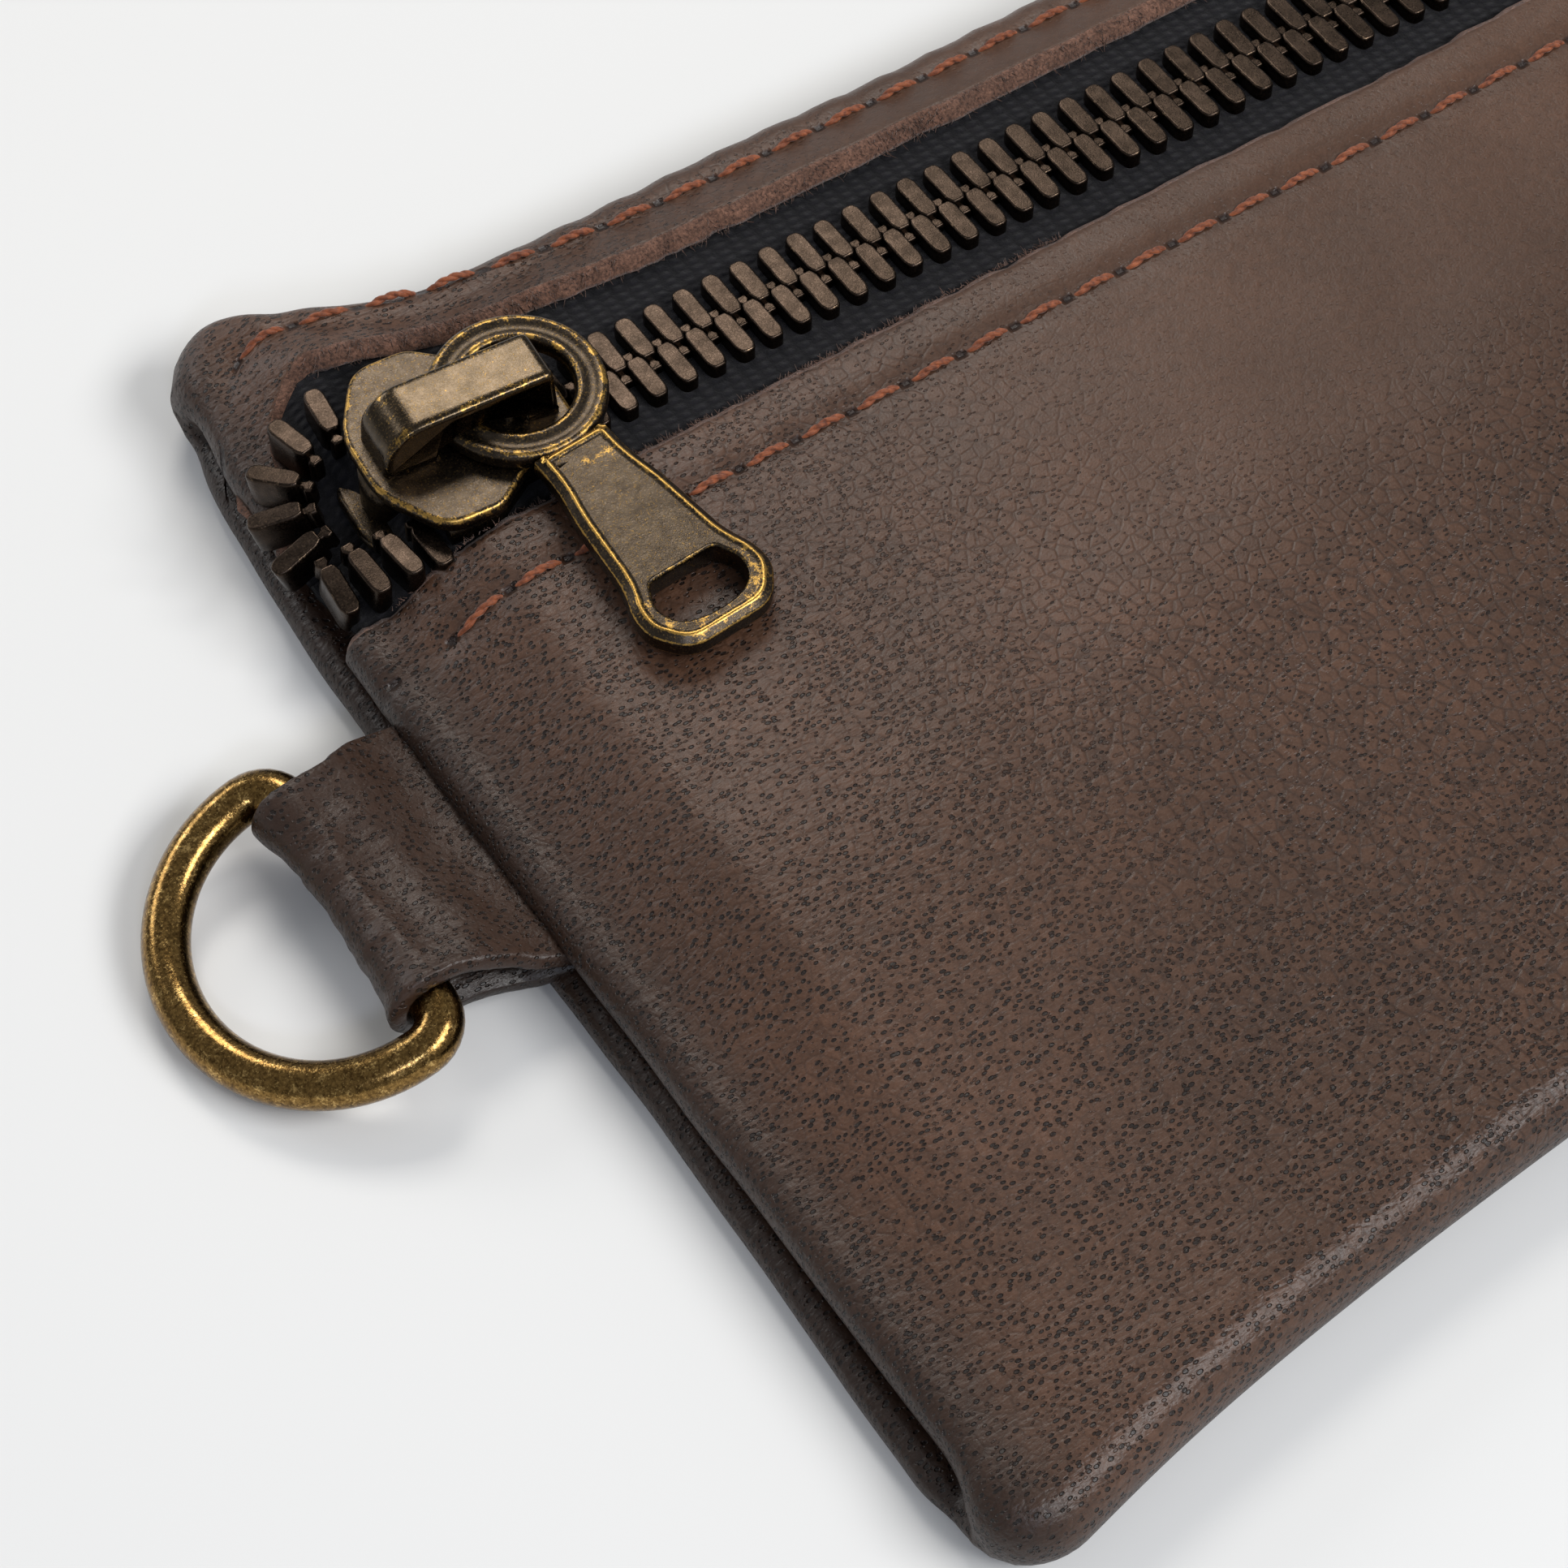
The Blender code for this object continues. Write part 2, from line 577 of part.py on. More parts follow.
def main():
    clear_scene()
    leather = finish_material("brown_leather", (0.068, 0.044, 0.033), 0.5)
    fabric = finish_material("black_tape", (0.012, 0.012, 0.014), 0.9)
    teeth_brass = finish_material("antique_teeth", (0.16, 0.115, 0.075), 0.35, 1.0)
    slider_brass = finish_material("antique_slider", (0.13, 0.105, 0.06), 0.35, 1.0)
    ring_brass = finish_material("antique_ring", (0.3, 0.19, 0.06), 0.3, 1.0)
    steel = finish_material("spring_steel", (0.4, 0.38, 0.35), 0.3, 1.0)
    rust = finish_material("rust_thread", (0.28, 0.085, 0.03), 0.8)
    leather_wrap(leather)
    ring_tab(leather)
    d_ring(ring_brass)
    tape("zipper_tape_upper", 1.0, 9.8, fabric)
    tape("zipper_tape_lower", -1.0, 8.2, fabric)
    teeth_row("teeth_row_upper", 1.0, 0.0, teeth_brass)
    teeth_row("teeth_row_lower", -1.0, PITCH / 2.0, teeth_brass)
    open_teeth(teeth_brass)
    slider(slider_brass)
    crown(slider_brass)
    lock_pawl(steel)
    pull(slider_brass)
    topstitch("front_topstitch", FRONT_STITCH_Y, 0.0, rust)
    topstitch("strip_topstitch", STRIP_STITCH_Y, 1.0, rust)
    side_seam_thread("side_seam_thread_left", -1.0, rust)
    side_seam_thread("side_seam_thread_right", 1.0, rust)


main()
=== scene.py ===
"""Looks of the zippered leather pouch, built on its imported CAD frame.

Lengths in the sections are millimetres. Pattern scales in the materials are counts per metre.
"""

import math

import bmesh
import bpy
import numpy as np
from mathutils import Matrix, Vector, noise


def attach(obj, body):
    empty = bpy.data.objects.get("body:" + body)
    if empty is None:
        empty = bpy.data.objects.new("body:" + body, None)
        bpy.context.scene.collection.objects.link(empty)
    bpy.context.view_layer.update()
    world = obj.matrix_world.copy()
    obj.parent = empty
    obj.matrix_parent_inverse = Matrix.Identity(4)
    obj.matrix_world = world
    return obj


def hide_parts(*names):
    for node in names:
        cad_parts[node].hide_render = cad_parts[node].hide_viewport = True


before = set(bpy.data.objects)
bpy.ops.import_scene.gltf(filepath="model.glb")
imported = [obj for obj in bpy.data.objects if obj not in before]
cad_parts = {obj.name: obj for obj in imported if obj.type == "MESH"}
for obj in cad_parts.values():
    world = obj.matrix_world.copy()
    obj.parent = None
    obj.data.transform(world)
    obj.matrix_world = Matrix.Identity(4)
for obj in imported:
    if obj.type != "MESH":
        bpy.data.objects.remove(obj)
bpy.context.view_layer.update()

# ---------------------------------------------------------------------------------------------------------
# Leather wrap.
# One hide of waxed brown calf, 1.3 mm thick: front panel, bottom fold, back, top fold and the narrow strip
# above the zipper. The pouch was sewn inside out and turned, so front and back each end in a soft roll at
# the side seams. The two edges along the zipper are cut raw.

MM = 0.001
ZIP_Y = 35.0
SEAM_X = 100.2  # groove between the front's and the back's roll
LEATHER_TOP, SEAM_TOP = 11.0, 7.0
FRONT_EDGE_Y = 27.0
STITCH_PITCH = 4.8
LOWEST = 0.1  # cut edges and the ring tab stay this far above the table
FRONT_STITCH_Y, STRIP_STITCH_Y = 22.3, 47.6


def linear(code):
    """sRGB hex to linear colour."""
    parts = [int(code[i : i + 2], 16) / 255.0 for i in (1, 3, 5)]
    return tuple(c / 12.92 if c <= 0.04045 else ((c + 0.055) / 1.055) ** 2.4 for c in parts) + (1.0,)


def add(tree, kind, sockets=None, **settings):
    """Adds a node. Each socket gets a value, or a link when the value is another node's output."""
    made = tree.nodes.new("ShaderNode" + kind)
    for name, value in settings.items():
        setattr(made, name, value)
    for name, value in (sockets or {}).items():
        if isinstance(value, bpy.types.NodeSocket):
            tree.links.new(value, made.inputs[name])
        else:
            made.inputs[name].default_value = value
    return made


def new_material(name, **sockets):
    """A Principled material, with its tree and shader. Uniform values sit on the shader's own sockets."""
    material = bpy.data.materials.new(name)
    material.use_nodes = True
    tree = material.node_tree
    shader = tree.nodes["Principled BSDF"]
    for socket, value in sockets.items():
        shader.inputs[socket.replace("_", " ")].default_value = value
    return material, tree, shader


def make_mesh(name, points, faces, *materials):
    """A smooth-shaded object from points in millimetres."""
    mesh = bpy.data.meshes.new(name)
    mesh.from_pydata([(p[0] * MM, p[1] * MM, p[2] * MM) for p in points], [], faces)
    for material in materials:
        mesh.materials.append(material)
    mesh.shade_smooth()
    made = bpy.data.objects.new(name, mesh)
    bpy.context.scene.collection.objects.link(made)
    return made


def face_out(made):
    """Turns the faces of closed shells outwards."""
    shape = bmesh.new()
    shape.from_mesh(made.data)
    bmesh.ops.recalc_face_normals(shape, faces=shape.faces)
    shape.to_mesh(made.data)
    shape.free()


def paint(made, name, values):
    """Stores one number per vertex for the material to read."""
    layer = made.data.attributes.new(name, "FLOAT", "POINT")
    layer.data.foreach_set("value", np.asarray(values, np.float32))


def ease(low, high, value):
    """Smooth step from 0 at low to 1 at high."""
    t = min(1.0, max(0.0, (value - low) / (high - low)))
    return t * t * (3.0 - 2.0 * t)


def bell(value, centre, width):
    """Smooth bump of height 1 about the centre."""
    return math.exp(-(((value - centre) / width) ** 2))


def ripple(x, y, size, seed=0.0):
    """Smooth noise from -1 to 1 with bumps of the given size."""
    return noise.noise(Vector((x / size, y / size, seed)))


def top_rim(x):
    """Where the front starts to turn down into the top fold. The corners stand out as ears."""
    return 47.7 + 0.6 * (abs(x) / 80.0) ** 2 + 6.6 * ease(80.0, 99.0, abs(x)) + 0.25 * ripple(x, 0.0, 16.0)


def bottom_rim(x):
    """Where the front starts to turn down into the bottom fold. It sinks towards the corners."""
    return -44.6 - 7.6 * (min(abs(x), 102.0) / 102.0) ** 3 + 0.2 * ripple(x, 9.0, 14.0)


def strip_edge(x):
    """Raw edge of the strip. It bows out near the ends, then hooks down into the side seam."""
    a = abs(x)
    bow = 43.5 + 5.4 * (max(0.0, min(a, 92.5) - 50.0) / 42.5) ** 2.6
    if a <= 93.0:
        return bow
    t = min(1.0, (a - 93.0) / (SEAM_X - 93.0))
    return bow - 11.0 * (1.0 - math.sqrt(max(0.0, 1.0 - t * t)))


def strip_stitch(x):
    """The strip's seam runs beside its raw edge, and turns down with it at the ends."""
    a = abs(x)
    bow = STRIP_STITCH_Y + 5.6 * (max(0.0, min(a, 93.0) - 52.0) / 41.0) ** 2.2
    return bow - 5.5 * max(0.0, (a - 94.0) / (SEAM_X - 94.0)) ** 2


def leather_height(x, y):
    """Height of the front's outer face."""
    rise = 1.0 - ease(SEAM_X - 10.5, SEAM_X, abs(x))
    from_bottom = 0.18 + 0.82 * ease(0.0, 46.0, y - bottom_rim(x))
    from_top = 0.62 + 0.38 * ease(0.0, 5.0, top_rim(x) - y)
    z = SEAM_TOP + (LEATHER_TOP - SEAM_TOP) * rise * min(from_bottom, from_top)
    z += rise * (0.28 * ripple(x, y, 26.0, 3.0) + 0.12 * ripple(x, y, 9.0, 7.0))
    z -= 0.5 * bell(x, -88.0, 6.0) * bell(y, 13.0, 9.0)
    wave = 0.55 + 0.45 * math.cos(2.0 * math.pi * x / STITCH_PITCH)
    z -= 0.38 * wave * (bell(y, FRONT_STITCH_Y, 0.9) + bell(y, strip_stitch(x), 0.9))
    z += 0.12 * bell(y, FRONT_STITCH_Y + 2.3, 1.3) * rise
    return z


def fold_section(steps):
    """A fold from the front's face down to the back, as (out, height) from 0 to 1."""
    angles = [math.pi * k / steps for k in range(steps + 1)]
    return [(math.sin(a) ** 0.85, 0.5 + 0.5 * math.cos(a)) for a in angles]


def seam_section(steps):
    """Two rolls with a groove between them, in millimetres out of the seam and up from the back."""
    front, back = steps * 11 // 24, steps * 10 // 24
    section = []
    for k in range(front + 1):
        a = math.pi * (0.5 - 1.12 * k / front)
        section.append((1.95 * math.cos(a), 5.05 + 1.95 * math.sin(a)))
    inside = steps - front - back - 1
    for k in range(inside):
        t = (k + 1) / (inside + 1)
        section.append((-0.75 - 0.7 * math.sin(math.pi * t), 3.2 - 0.6 * t))
    for k in range(back + 1):
        a = math.pi * (0.72 - 1.22 * k / back)
        section.append((1.3 + 1.45 * math.cos(a), 1.45 + 1.45 * math.sin(a)))
    return section[: steps + 1]


def spaced(*runs):
    """Positions from runs of (start, end, count)."""
    places = []
    for start, end, count in runs:
        places += [start + (end - start) * i / count for i in range(count)]
    return places + [runs[-1][1]]


WALL_STEPS = 24
half_columns = spaced((0.0, 60.0, 40), (60.0, 88.0, 34), (88.0, SEAM_X, 26))
columns = [-x for x in reversed(half_columns[1:])] + half_columns
panel_rows = spaced((0.0, 0.1, 10), (0.1, 0.86, 54), (0.86, 1.0, 16))
window_rows = spaced((0.0, 1.0, 8))[1:-1]
strip_rows = spaced((0.0, 1.0, 16))
PANEL_END, STRIP_START = len(panel_rows) - 1, len(panel_rows) + len(window_rows)
row_count = STRIP_START + len(strip_rows)
CORNER = 2.6


def leather_place(i, j):
    """Place of a grid point in plan, and the way out of the grid there, with its corners rounded."""
    x = columns[i]
    low, high, edge = bottom_rim(x), top_rim(x), strip_edge(x)
    if j <= PANEL_END:
        y = low + (FRONT_EDGE_Y - low) * panel_rows[j]
    elif j < STRIP_START:
        y = FRONT_EDGE_Y + (edge - FRONT_EDGE_Y) * window_rows[j - PANEL_END - 1]
    else:
        y = edge + (high - edge) * strip_rows[j - STRIP_START]
    out_x = (i == len(columns) - 1) - (i == 0)
    out_y = (j == row_count - 1) - (j == 0)
    from_x = SEAM_X - abs(x)
    drawn_in = 1.0 * ease(28.0, 46.0, y) + 2.0 * ease(44.0, 58.0, y)
    x -= math.copysign(drawn_in * ease(90.0, SEAM_X, abs(x)), x)
    from_y = min(y - low, high - y)
    if from_x < CORNER and from_y < CORNER:
        p, q = 1.0 - from_x / CORNER, 1.0 - from_y / CORNER
        round_p, round_q = p * math.sqrt(1.0 - q * q / 2.0), q * math.sqrt(1.0 - p * p / 2.0)
        side_x, side_y = (1.0 if x > 0.0 else -1.0), (1.0 if y > 0.0 else -1.0)
        x -= side_x * CORNER * (p - round_p)
        y -= side_y * CORNER * (q - round_q)
        if out_x or out_y:
            length = math.hypot(round_p, round_q)
            out_x, out_y = side_x * round_p / length, side_y * round_q / length
    return x, y, out_x, out_y, from_y


def seam_slack(y):
    """The back stands further out beside the ring tab, and the rolls part towards the bottom corner."""
    return 0.35 * bell(y, 12.0, 22.0), 0.9 * ease(-8.0, -50.0, y)


def build_wrap():
    """Outer face of the hide: a grid over front and back, and folds and seams down its border."""
    points, index, faces = [], {}, []

    def put(key, point):
        index[key] = len(points)
        points.append(point)

    last_i, last_j = len(columns) - 1, row_count - 1
    rim = {}
    for i in range(len(columns)):
        for j in range(row_count):
            x, y, out_x, out_y, from_y = leather_place(i, j)
            z = leather_height(x, y)
            if not PANEL_END < j < STRIP_START:
                put(("front", i, j), (x, y, z))
            put(("back", i, j), (x, y, 0.02))
            if i in (0, last_i) or j in (0, last_j):
                rim[i, j] = (x, y, z, out_x, out_y, from_y)
    for i in range(last_i):
        for j in range(last_j):
            if not PANEL_END <= j < STRIP_START:
                faces.append(
                    [index["front", a, b] for a, b in ((i, j), (i + 1, j), (i + 1, j + 1), (i, j + 1))]
                )
            faces.append([index["back", a, b] for a, b in ((i, j), (i, j + 1), (i + 1, j + 1), (i + 1, j))])
    fold, seam = fold_section(WALL_STEPS), seam_section(WALL_STEPS)
    for (i, j), (x, y, z, out_x, out_y, from_y) in rim.items():
        sewn = ease(0.5, 6.5, from_y) if i in (0, last_i) else 0.0
        further, gap = seam_slack(y)
        for k in range(1, WALL_STEPS):
            fold_out, fold_z = fold[k][0] * 3.7, 0.02 + (z - 0.02) * fold[k][1]
            seam_out, seam_z = seam[k]
            seam_z = seam_z * z / SEAM_TOP if seam_z > 3.0 else seam_z
            lower = k > WALL_STEPS // 2
            if lower:
                seam_out += (further + gap) * math.sin(math.pi * (k - WALL_STEPS / 2) / (WALL_STEPS / 2))
            else:
                seam_z += 0.35 * gap * ease(0.0, 9.0, k)
            seam_out += 0.12 * ripple(y, k * 0.15, 7.0, 11.0 if lower else 5.0)
            out = fold_out + (seam_out - fold_out) * sewn
            height = fold_z + (seam_z - fold_z) * sewn
            if PANEL_END < j < STRIP_START and k < WALL_STEPS // 2:
                continue
            put((k, i, j), (x + out_x * out, y + out_y * out, height))
    loop = [(i, 0) for i in range(last_i)] + [(last_i, j) for j in range(last_j)]
    loop += [(i, last_j) for i in range(last_i, 0, -1)] + [(0, j) for j in range(last_j, 0, -1)]
    for position, (i, j) in enumerate(loop):
        n, m = loop[(position + 1) % len(loop)]
        for k in range(WALL_STEPS):
            above, below = (k or "front"), (k + 1 if k + 1 < WALL_STEPS else "back")
            corners = [(above, i, j), (below, i, j), (below, n, m), (above, n, m)]
            if all(corner in index for corner in corners):
                faces.append([index[corner] for corner in corners])
    return points, faces


def cut_edge(made, thickness, under, roughness, slot_index, skive=0.0):
    """Gives the open border of a sheet its cut face, slanted by skive, and a strip of its underside."""
    shape = bmesh.new()
    shape.from_mesh(made.data)
    shape.normal_update()
    border = [edge for edge in shape.edges if edge.is_boundary]
    outward, rings = {}, {}
    for edge in border:
        face = edge.link_faces[0]
        away = (edge.verts[0].co + edge.verts[1].co) / 2.0 - face.calc_center_median()
        along = (edge.verts[1].co - edge.verts[0].co).normalized()
        away = (away - along * away.dot(along)).normalized()
        for vert in edge.verts:
            outward[vert] = outward.get(vert, Vector()) + away
    for vert, away in outward.items():
        normal = vert.normal.copy()
        away = (away - normal * away.dot(normal)).normalized()
        fray = roughness * ripple(vert.co.x / MM, vert.co.y / MM, 0.7, 2.0)
        fray += 1.6 * roughness * ripple(vert.co.x / MM, vert.co.y / MM, 3.1, 4.0)
        steps = [(0.16 + fray, -0.14), (0.26 + 0.4 * skive + fray, -0.45)]
        steps += [(0.26 + 0.8 * skive + fray * 1.4, -thickness * 0.8), (0.2 + skive + fray, -thickness)]
        steps.append((-under, -thickness))
        vert.co += away * fray * MM
        places = [vert.co + (away * out + normal * up) * MM for out, up in steps]
        rings[vert] = [shape.verts.new((p.x, p.y, max(p.z, LOWEST * MM))) for p in places]
    for edge in border:
        a, b = edge.verts
        if edge.link_loops[0].vert == b:
            a, b = b, a
        chain_a, chain_b = [a] + rings[a], [b] + rings[b]
        for k in range(len(chain_a) - 1):
            face = shape.faces.new((chain_b[k], chain_a[k], chain_a[k + 1], chain_b[k + 1]))
            face.material_index = slot_index
            face.smooth = True
    shape.to_mesh(made.data)
    shape.free()


# Waxed calf keeps its hair pores: slanting pricks 0.4 mm long on the left and along the rolls, and closed
# pebbles about 1.1 mm wide on the belly of the panel. The wax gives a soft, wide highlight.
calf, tree, shader = new_material("waxed_calf_leather", Roughness=0.4, Specular_IOR_Level=0.42)
where = add(tree, "TexCoord").outputs["Object"]
drift = add(tree, "TexNoise", {"Vector": where, "Scale": 160.0, "Detail": 1.0})
drift = add(tree, "VectorMath", {0: drift.outputs["Color"], "Scale": 0.0011}, operation="SCALE")
drawn = add(tree, "VectorMath", {0: where, 1: drift.outputs[0]}, operation="ADD").outputs[0]
slant = add(
    tree, "Mapping", {"Vector": drawn, "Rotation": (0.0, 0.0, 0.3), "Scale": (1350.0, 2300.0, 1900.0)}
)
pores = add(tree, "TexVoronoi", {"Vector": slant.outputs[0], "Scale": 1.0, "Randomness": 0.85})
pore = add(tree, "MapRange", {"Value": pores.outputs["Distance"], 1: 0.23, 2: 0.34, 3: 1.0, 4: 0.0})
pebbles = add(
    tree, "TexVoronoi", {"Vector": drawn, "Scale": 900.0, "Randomness": 0.9}, feature="DISTANCE_TO_EDGE"
)
pebble = add(tree, "MapRange", {"Value": pebbles.outputs["Distance"], 1: 0.0, 2: 0.14, 3: 1.0, 4: 0.0})
cells = add(tree, "TexVoronoi", {"Vector": drawn, "Scale": 900.0, "Randomness": 0.9})
scale_tone = add(tree, "SeparateXYZ", {0: cells.outputs["Color"]})
wrinkled = add(
    tree, "Mapping", {"Vector": drawn, "Rotation": (0.0, 0.0, 0.2), "Scale": (420.0, 1700.0, 1500.0)}
)
wrinkle = add(
    tree, "TexNoise", {"Vector": wrinkled.outputs[0], "Scale": 1.0, "Detail": 3.0, "Roughness": 0.6}
)
cross = add(
    tree, "Mapping", {"Vector": drawn, "Rotation": (0.0, 0.0, -0.25), "Scale": (1350.0, 2500.0, 1900.0)}
)
strokes = add(tree, "TexVoronoi", {"Vector": cross.outputs[0], "Scale": 1.0, "Randomness": 0.9})
crease = add(tree, "MapRange", {"Value": strokes.outputs["Distance"], 1: 0.16, 2: 0.26, 3: 1.0, 4: 0.0})
patches = add(tree, "TexNoise", {"Vector": where, "Scale": 45.0, "Detail": 3.0})
mottle = add(tree, "TexNoise", {"Vector": where, "Scale": 1300.0, "Detail": 2.0})
grit = add(tree, "TexNoise", {"Vector": where, "Scale": 5200.0, "Detail": 3.0, "Roughness": 0.65})
pricked = add(tree, "Attribute", attribute_name="pricked").outputs["Fac"]
pebbled = add(tree, "Attribute", attribute_name="pebbled").outputs["Fac"]
painted_shade = add(tree, "Attribute", attribute_name="painted_shade").outputs["Fac"]
pore_depth = add(tree, "Math", {0: pore.outputs[0], 1: pricked}, operation="MULTIPLY")
crease_depth = add(tree, "Math", {0: crease.outputs[0], 1: pebbled}, operation="MULTIPLY")
swell = add(tree, "Math", {0: pebble.outputs[0], 1: pebbled}, operation="MULTIPLY")
tone = add(tree, "MapRange", {"Value": patches.outputs["Fac"], 1: 0.35, 2: 0.68})
brown = add(tree, "Mix", {0: tone.outputs[0], 6: linear("#452e20"), 7: linear("#53392a")}, data_type="RGBA")
speck = add(tree, "MapRange", {"Value": grit.outputs["Fac"], 1: 0.3, 2: 0.75, 3: 0.85, 4: 1.14})
uneven = add(tree, "MapRange", {"Value": scale_tone.outputs[0], 3: 0.86, 4: 1.12})
cloud = add(tree, "MapRange", {"Value": mottle.outputs["Fac"], 1: 0.3, 2: 0.7, 3: 0.88, 4: 1.10})
for share, factor in ((1.0, speck), (pebbled, uneven), (1.0, cloud)):
    sockets = {0: share, 6: brown.outputs[2], 7: factor.outputs[0]}
    brown = add(tree, "Mix", sockets, data_type="RGBA", blend_type="MULTIPLY")
# Painted shade: an attribute painted on the meshes darkens the leather towards #20150f where the folds and
# rolls turn down, at the side seams, along the front stitch groove and over the ring tab.
brown = add(tree, "Mix", {0: painted_shade, 6: brown.outputs[2], 7: linear("#20150f")}, data_type="RGBA")
hollows = ((pore_depth, 0.9, "#0f0806"), (swell, 0.5, "#1b110c"), (crease_depth, 0.85, "#1b110c"))
for depth, strength, colour in hollows:
    share = add(tree, "Math", {0: depth.outputs[0], 1: strength}, operation="MULTIPLY")
    brown = add(tree, "Mix", {0: share.outputs[0], 6: brown.outputs[2], 7: linear(colour)}, data_type="RGBA")

# The needle's holes are painted dark between the stitches as painted shade, and sunk by a bump; the thread
# draws the leather in around them.
beside = add(tree, "Attribute", attribute_name="from_seam").outputs["Fac"]
beside = add(tree, "Math", {0: beside}, operation="ABSOLUTE")
near = add(tree, "MapRange", {"Value": beside.outputs[0], 1: 0.12, 2: 0.42, 3: 1.0, 4: 0.0})
along = add(tree, "SeparateXYZ", {0: where})
along = add(tree, "Math", {0: along.outputs[0], 1: 1000.0 / STITCH_PITCH, 2: 0.5}, operation="MULTIPLY_ADD")
along = add(tree, "Math", {0: along.outputs[0]}, operation="FRACT")
along = add(tree, "Math", {0: along.outputs[0], 1: 0.5}, operation="SUBTRACT")
along = add(tree, "Math", {0: along.outputs[0]}, operation="ABSOLUTE")
gap = add(tree, "MapRange", {"Value": along.outputs[0], 1: 0.05, 2: 0.12, 3: 1.0, 4: 0.0})
hole = add(tree, "Math", {0: gap.outputs[0], 1: near.outputs[0]}, operation="MULTIPLY")
brown = add(tree, "Mix", {0: hole.outputs[0], 6: brown.outputs[2], 7: linear("#1c0c07")}, data_type="RGBA")
tree.links.new(brown.outputs[2], shader.inputs["Base Color"])
wax = add(tree, "MapRange", {"Value": grit.outputs["Fac"], 1: 0.3, 2: 0.7, 3: 0.34, 4: 0.5})
tree.links.new(wax.outputs[0], shader.inputs["Roughness"])
relief = add(tree, "Math", {0: pore_depth.outputs[0], 1: crease_depth.outputs[0]}, operation="MAXIMUM")
fold = add(tree, "Math", {0: wrinkle.outputs["Fac"], 1: pricked}, operation="MULTIPLY")
# Each layer of relief is its strength, its depth in metres, its pattern, and whether the pattern is sunk.
layers = [
    (1.0, 0.00018, relief.outputs[0], True),
    (0.5, 0.00006, swell.outputs[0], True),
    (0.5, 0.0002, fold.outputs[0], False),
    (0.3, 0.00012, mottle.outputs["Fac"], False),
    (0.4, 0.00006, grit.outputs["Fac"], False),
    (0.9, 0.0004, hole.outputs[0], True),
]
normal = None
for strength, distance, height, sunk in layers:
    sockets = {"Strength": strength, "Distance": distance, "Height": height}
    if normal is not None:
        sockets["Normal"] = normal
    normal = add(tree, "Bump", sockets, invert=sunk).outputs[0]
tree.links.new(normal, shader.inputs["Normal"])

# The cut face shows the fibres inside the hide, which are lighter and redder than the waxed grain.
suede, tree, shader = new_material(
    "cut_hide_fibres", Roughness=0.95, Specular_IOR_Level=0.2, Sheen_Weight=0.25
)
where = add(tree, "TexCoord").outputs["Object"]
fibres = add(tree, "TexNoise", {"Vector": where, "Scale": 4200.0, "Detail": 4.0, "Roughness": 0.7})
tufts = add(tree, "TexNoise", {"Vector": where, "Scale": 900.0, "Detail": 2.0})
fibre = add(tree, "MapRange", {"Value": fibres.outputs["Fac"], 1: 0.32, 2: 0.68})
mix = add(tree, "Mix", {0: fibre.outputs[0], 6: linear("#3b2820"), 7: linear("#86614f")}, data_type="RGBA")
clump = add(tree, "MapRange", {"Value": tufts.outputs["Fac"], 1: 0.3, 2: 0.7, 3: 0.6, 4: 1.15})
mix = add(
    tree,
    "Mix",
    {0: 1.0, 6: mix.outputs[2], 7: clump.outputs[0]},
    data_type="RGBA",
    blend_type="MULTIPLY",
)
tree.links.new(mix.outputs[2], shader.inputs["Base Color"])
nap = add(tree, "Bump", {"Strength": 0.9, "Distance": 0.0002, "Height": fibres.outputs["Fac"]})
tree.links.new(nap.outputs[0], shader.inputs["Normal"])

wrap_points, wrap_faces = build_wrap()
wrap = make_mesh("leather_wrap", wrap_points, wrap_faces, calf, suede)
cut_edge(wrap, 1.3, 3.5, 0.12, 1, 0.8)
places = np.array([v.co for v in wrap.data.vertices]) / MM
from_bottom = np.array([y - bottom_rim(x) for x, y, z in places])
left = np.array([ease(-52.0, -90.0, x) for x, y, z in places])
low = np.array([ease(26.0, 6.0, rise) for rise in from_bottom])
smooth = np.array([ease(-75.0, -30.0, x) * ease(-12.0, 12.0, y) for x, y, z in places])
paint(wrap, "pricked", np.clip(0.15 + left + 0.7 * low - smooth, 0.0, 1.0))
paint(wrap, "pebbled", np.clip(1.0 - 0.45 * left - smooth, 0.12, 1.0))
# Painted shade: darker on the lower turn of every fold and roll, towards the side seams and in the groove
# along the front stitch line.
painted_roll_shade = [
    max(
        0.85 * ease(6.0, 2.2, z) * (z > 0.5),
        0.7 * ease(95.0, 101.5, abs(x)),
        0.25 * bell(y, FRONT_STITCH_Y, 0.8),
    )
    for x, y, z in places
]
paint(wrap, "painted_shade", painted_roll_shade)
paint(wrap, "from_seam", [y - (FRONT_STITCH_Y if y < ZIP_Y else strip_stitch(x)) for x, y, z in places])
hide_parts("leather_body")
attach(wrap, "pouch")

# ---------------------------------------------------------------------------------------------------------
# Raw fibres.
# The blade leaves loose fibres of hide along both cut edges. They are a few tenths of a millimetre long, and
# denser on the strip, whose cut face is wider.

chance = np.random.default_rng(7)


def loose_fibre(root, direction, length):
    """A thin curved prism of three sides."""
    root, direction = Vector(root), Vector(direction).normalized()
    side = direction.cross(Vector((0.0, 0.0, 1.0))).normalized()
    curl = Vector(chance.uniform(-0.5, 0.5, 3)) * length
    points, faces = [], []
    for k in range(4):
        t = k / 3.0
        middle = root + direction * length * t + curl * t * t
        width = 0.05 * (1.0 - 0.7 * t)
        points += [middle + side * width, middle - side * width, middle + Vector((0.0, 0.0, 1.6 * width))]
        if k:
            low = 3 * (k - 1)
            faces += [(low + n, low + (n + 1) % 3, low + 3 + (n + 1) % 3, low + 3 + n) for n in range(3)]
    faces += [(2, 1, 0), (9, 10, 11)]
    return points, faces


